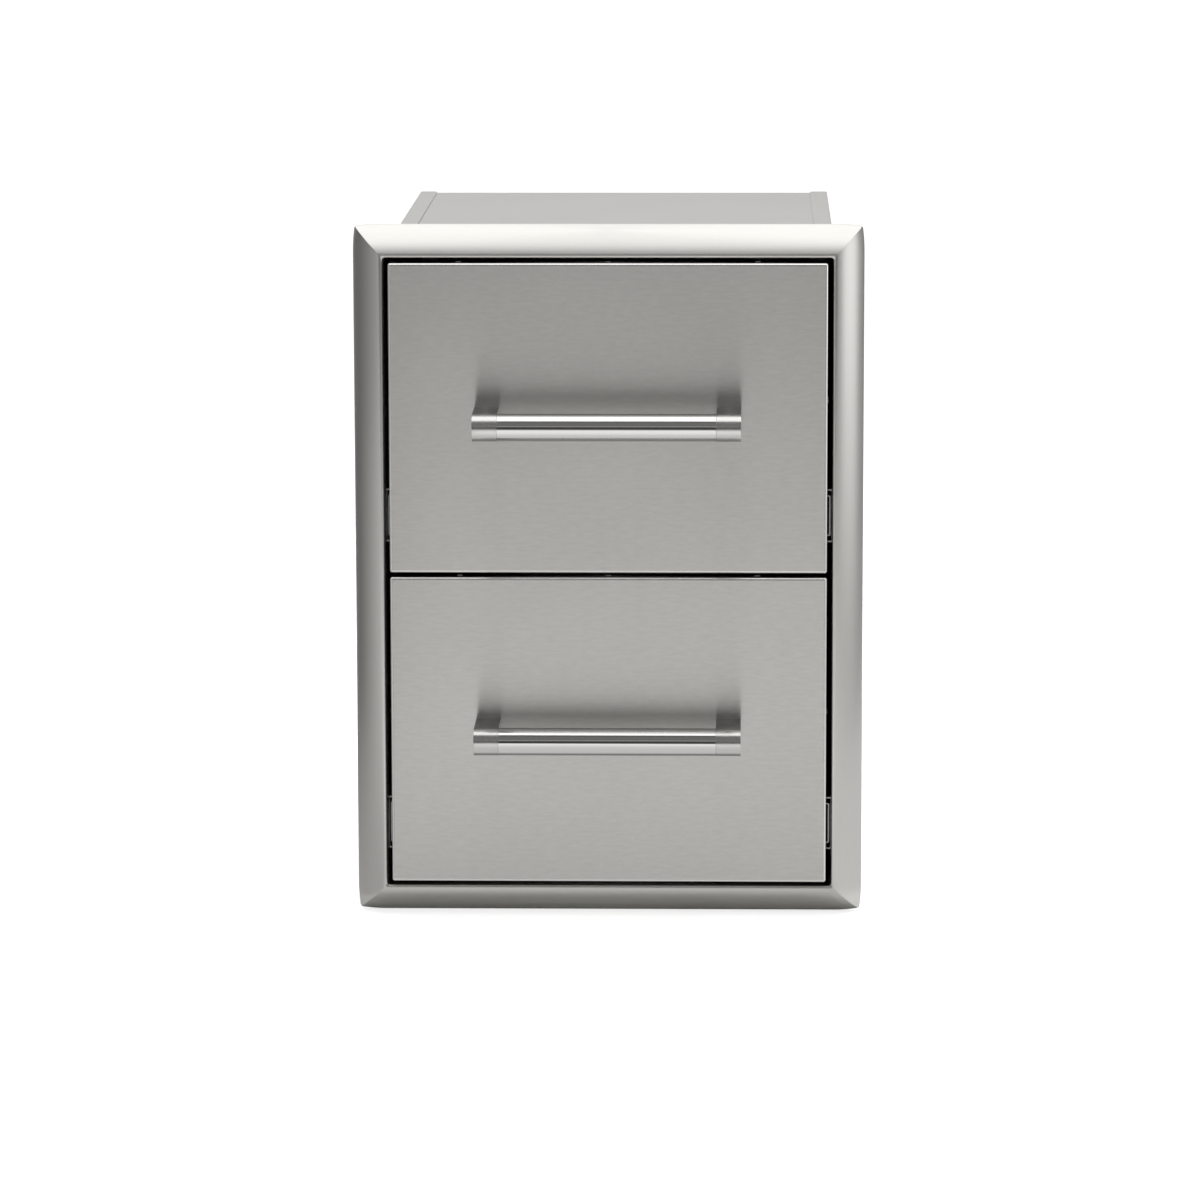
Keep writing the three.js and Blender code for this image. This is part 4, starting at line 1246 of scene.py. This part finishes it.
def fastener_heads(level, word):
    """The domes outside a cabinet wall, then the screws inside a box side and its front tab, with their
    recesses. Each stands at a share of the length or of the height."""
    sign = float(SIDES[word] + "1")
    slide = level + "_slide_" + word
    near, far, front, back, height, half, outward = slide_box(slide + "_cabinet_member")
    rivets = []
    for share in SLIDE_RIVET_SHARES:
        place = (sign * side_high.x, front + share * (back - front), height)
        rivets.append(dome(SLIDE_RIVET_RADIUS, SLIDE_RIVET_HEIGHT, place, outward))
    low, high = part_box(level + "_drawer_side_" + word)
    tab, wall = sorted((abs(low.x), abs(high.x)))
    wall -= BOX_SHEET
    front, back = slide_box(slide + "_drawer_member")[2:4]
    inward = "+y +z " + ("-x" if sign > 0 else "+x")
    tab_x = sign * (wall - (wall - tab) * TAB_SCREW_REACH_SHARE)
    places = [((sign * wall, front + share * (back - front), height), inward) for share in BOX_SCREW_SHARES]
    for share in TAB_SCREW_SHARES:
        tab_place = (tab_x, low.y + BOX_SHEET, low.z + share * (high.z - low.z))
        places.append((tab_place, "+z +x +y"))
    sizes = (BOX_SCREW_RADIUS, BOX_SCREW_HEIGHT, BOX_SCREW_RADIUS / 2, BOX_SHEET / 2)
    screws, recesses = zip(*(screw(*sizes, *place) for place in places))
    return rivets, screws, recesses

# %% Make the fasteners
for level in LEVELS:
    for word in SIDES:
        rivets, screws, recesses = fastener_heads(level, word)
        name = level + "_" + word
        make_piece(name + "_wall_rivets", rivets, "cabinet", "rivet")
        make_piece(name + "_box_screws", screws, level + "_drawer", "zinc", (), recesses)
print("fasteners:", len(rivets), "rivets and", len(screws), "screws on each side of each drawer")

# %% [markdown]
# ## The studio
# Steel shows what stands round it. A long softbox overhead gives the bright band along the top rail and
# the bars, and one on the right gives the bright right rail. The faces look level to the front and show
# the floor there: brightest about a metre away, a little less so at the object, and dark far off. Darker
# boards in front, behind and on the left draw the shapes, and a dark ceiling keeps the light off the
# front. The boards only show in reflections: they cast no shadow and light nothing, so the object stays
# evenly lit for views from other sides. A board may be darker at one end: its shade then runs from one
# colour to the other along its own X, its Y or its Z. The floor is pale and keeps a soft shadow. For the
# camera a little light of its own lifts it to white, and the world behind is white too.

# %% Floor and world
FLOOR_SIZE = 60.0
FLOOR_LEVEL = cad_low.z
FLOOR_COLOUR = (0.80, 0.80, 0.80, 1.0)
FLOOR_LIFT = 0.68
WORLD_FILL = 0.55


def flat_object(name, corners, material):
    """A single face that belongs to the stage."""
    mesh = bpy.data.meshes.new(name)
    mesh.from_pydata(corners, [], [(0, 1, 2, 3)])
    mesh.materials.append(material)
    made = new_object(name, mesh)
    made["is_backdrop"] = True
    return made


def floor():
    """A dull floor under the part, which adds a little light of its own for the camera only."""
    material, shader = new_material("floor")
    camera_ray = shader.node("ShaderNodeLightPath", output="Is Camera Ray")
    diffuse = shader.node("ShaderNodeBsdfDiffuse", {"Color": FLOOR_COLOUR})
    lift = shader.node("ShaderNodeEmission", {"Strength": camera_ray * FLOOR_LIFT})
    shader.show(shader.node("ShaderNodeAddShader", {0: diffuse, 1: lift}))
    half = FLOOR_SIZE / 2
    corners = [(x * half, y * half, FLOOR_LEVEL) for x, y in ((-1, -1), (1, -1), (1, 1), (-1, 1))]
    flat_object("floor", corners, material)


def pale_world():
    """Full white to the camera, reflections and transmission, and a softer fill to everything else."""
    world = bpy.data.worlds.new("world")
    bpy.context.scene.world = world
    shader = Shader(world)
    rays = ["Is Camera Ray", "Is Glossy Ray", "Is Transmission Ray"]
    shown = sum((shader.node("ShaderNodeLightPath", output=ray) for ray in rays), 0.0)
    inputs = {"Color": (1, 1, 1, 1), "Strength": WORLD_FILL + shown * (1 - WORLD_FILL)}
    shader.node("ShaderNodeOutputWorld", {"Surface": shader.node("ShaderNodeBackground", inputs)})


floor()
pale_world()

# %% Boards and lamps
def board(name, centre, across, upward, radiance, axis=None, places=(0.0, 1.0)):
    """A glowing rectangle from its centre and two half sides, seen only in reflections. Its radiance is
    one number, or runs from a first to a second one between two places along an axis."""
    material, shader = new_material(name)
    inputs = {"Strength": radiance}
    if axis:
        place = shader.node("ShaderNodeTexCoord", output="Object")
        along = shader.node("ShaderNodeSeparateXYZ", {"Vector": place}, axis)
        limits = {"Value": along, "From Min": places[0], "From Max": places[1]}
        share = shader.node("ShaderNodeMapRange", limits)
        shades = [(value, value, value, 1.0) for value in radiance]
        inputs = {"Color": shader.mix(share, *shades), "Strength": 1.0}
    shader.show(shader.node("ShaderNodeEmission", inputs))
    centre, across, upward = Vector(centre), Vector(across), Vector(upward)
    corners = [centre - across - upward, centre + across - upward]
    corners += [centre + across + upward, centre - across + upward]
    made = flat_object(name, corners, material)
    made.visible_camera = False
    made.visible_diffuse = False
    made.visible_shadow = False
    made.visible_transmission = False


def lamp(name, place, target, size, power):
    """A square area lamp that lights and casts shadows, and doesn't show in reflections."""
    data = bpy.data.lights.new(name, "AREA")
    data.size = size
    data.energy = power
    made = new_object(name, data)
    direction = Vector(target) - Vector(place)
    turn = direction.to_track_quat("-Z", "Y").to_matrix().to_4x4()
    made.matrix_world = Matrix.Translation(Vector(place)) @ turn
    made.visible_camera = False
    made.visible_glossy = False

# %% Place the boards and the lamp
BOARDS = {
    "softbox_above": ((0, 0.45, 1.6), (1.6, 0, 0), (0, 1.15, 0), 1.36),
    "ceiling_front": ((0, -2.4, 6.0), (4.0, 0, 0), (0, 1.6, 0), 0.10),
    "strip_front": ((0, -3.9, 1.6), (3.0, 0, 0), (0, 0, 0.22), 0.36),
    "board_front": ((0, -4.0, 2.8), (4.0, 0, 0), (0, 0, 3.2), (0.04, 0.17), "Z", (0.4, 2.4)),
    "floor_far": ((0, -4.35, 0.003), (4.0, 0, 0), (0, 1.85, 0), (0.12, 0.28), "Y", (-4.0, -2.5)),
    "floor_front": ((0, -1.91, 0.003), (0.45, 0, 0), (0, 0.59, 0), (0.28, 1.00), "Y", (-2.5, -1.33)),
    "floor_bright": ((0, -0.98, 0.003), (0.45, 0, 0), (0, 0.34, 0), (1.01, 0.97), "Y", (-1.32, -0.64)),
    "floor_middle": ((0, -0.44, 0.003), (0.24, 0, 0), (0, 0.20, 0), (0.98, 0.68), "Y", (-0.64, -0.24)),
    "board_left": ((-1.0, -0.2, 0.9), (0, 1.0, 0), (0, 0, 0.6), (0.50, 0.10), "Y", (-1.0, 0.42)),
    "board_left_low": ((-1.0, -0.2, 0.15), (0, 1.0, 0), (0, 0, 0.15), (0.74, 0.02), "Y", (-1.0, 0.62)),
    "floor_left": ((-0.61, -0.2, 0.004), (0.38, 0, 0), (0, 1.0, 0), (0.70, 0.16), "Y", (-0.9, 0.7)),
    "floor_near": ((0, -0.135, 0.003), (0.24, 0, 0), (0, 0.105, 0), (0.68, 0.60), "Y", (-0.24, -0.04)),
    "board_right": ((1.0, -0.06, 0.75), (0, 0.32, 0), (0, 0, 0.75), (0.50, 1.22), "Z", (0.10, 0.46)),
    "board_right_behind": ((1.0, 0.76, 0.75), (0, 0.5, 0), (0, 0, 0.75), (0.34, 0.16), "Z", (0.05, 0.42)),
    "board_right_front": ((1.0, -0.88, 0.75), (0, 0.5, 0), (0, 0, 0.75), (0.58, 0.26), "Z", (0.05, 0.42)),
    "floor_right": ((0.62, -0.2, 0.004), (0.37, 0, 0), (0, 1.0, 0), (0.70, 0.68), "Y", (-0.9, 0.3)),
    "board_behind": ((0, 4.0, 1.2), (4.0, 0, 0), (0, 0, 1.2), 0.52),
}
LAMP_PLACE = (0.5, 0.6, 2.3)
LAMP_TARGET = (0, 0, 0.2)
LAMP_SIZE = 2.2
LAMP_POWER = 50.0
for name, settings in BOARDS.items():
    board(name, *settings)
lamp("lamp_above", LAMP_PLACE, LAMP_TARGET, LAMP_SIZE, LAMP_POWER)

# %% [markdown]
# ## Sizes
# The box of the frame and the box of the dressed part are written side by side. A piece that came out
# too large or in a wrong place would show there first.

# %% Sizes and finish
shown_low, shown_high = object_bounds()
sizes = {
    "cad_low": list(cad_low),
    "cad_high": list(cad_high),
    "visual_low": list(shown_low),
    "visual_high": list(shown_high),
}
print("box of the frame and of the dressed part:", sizes)
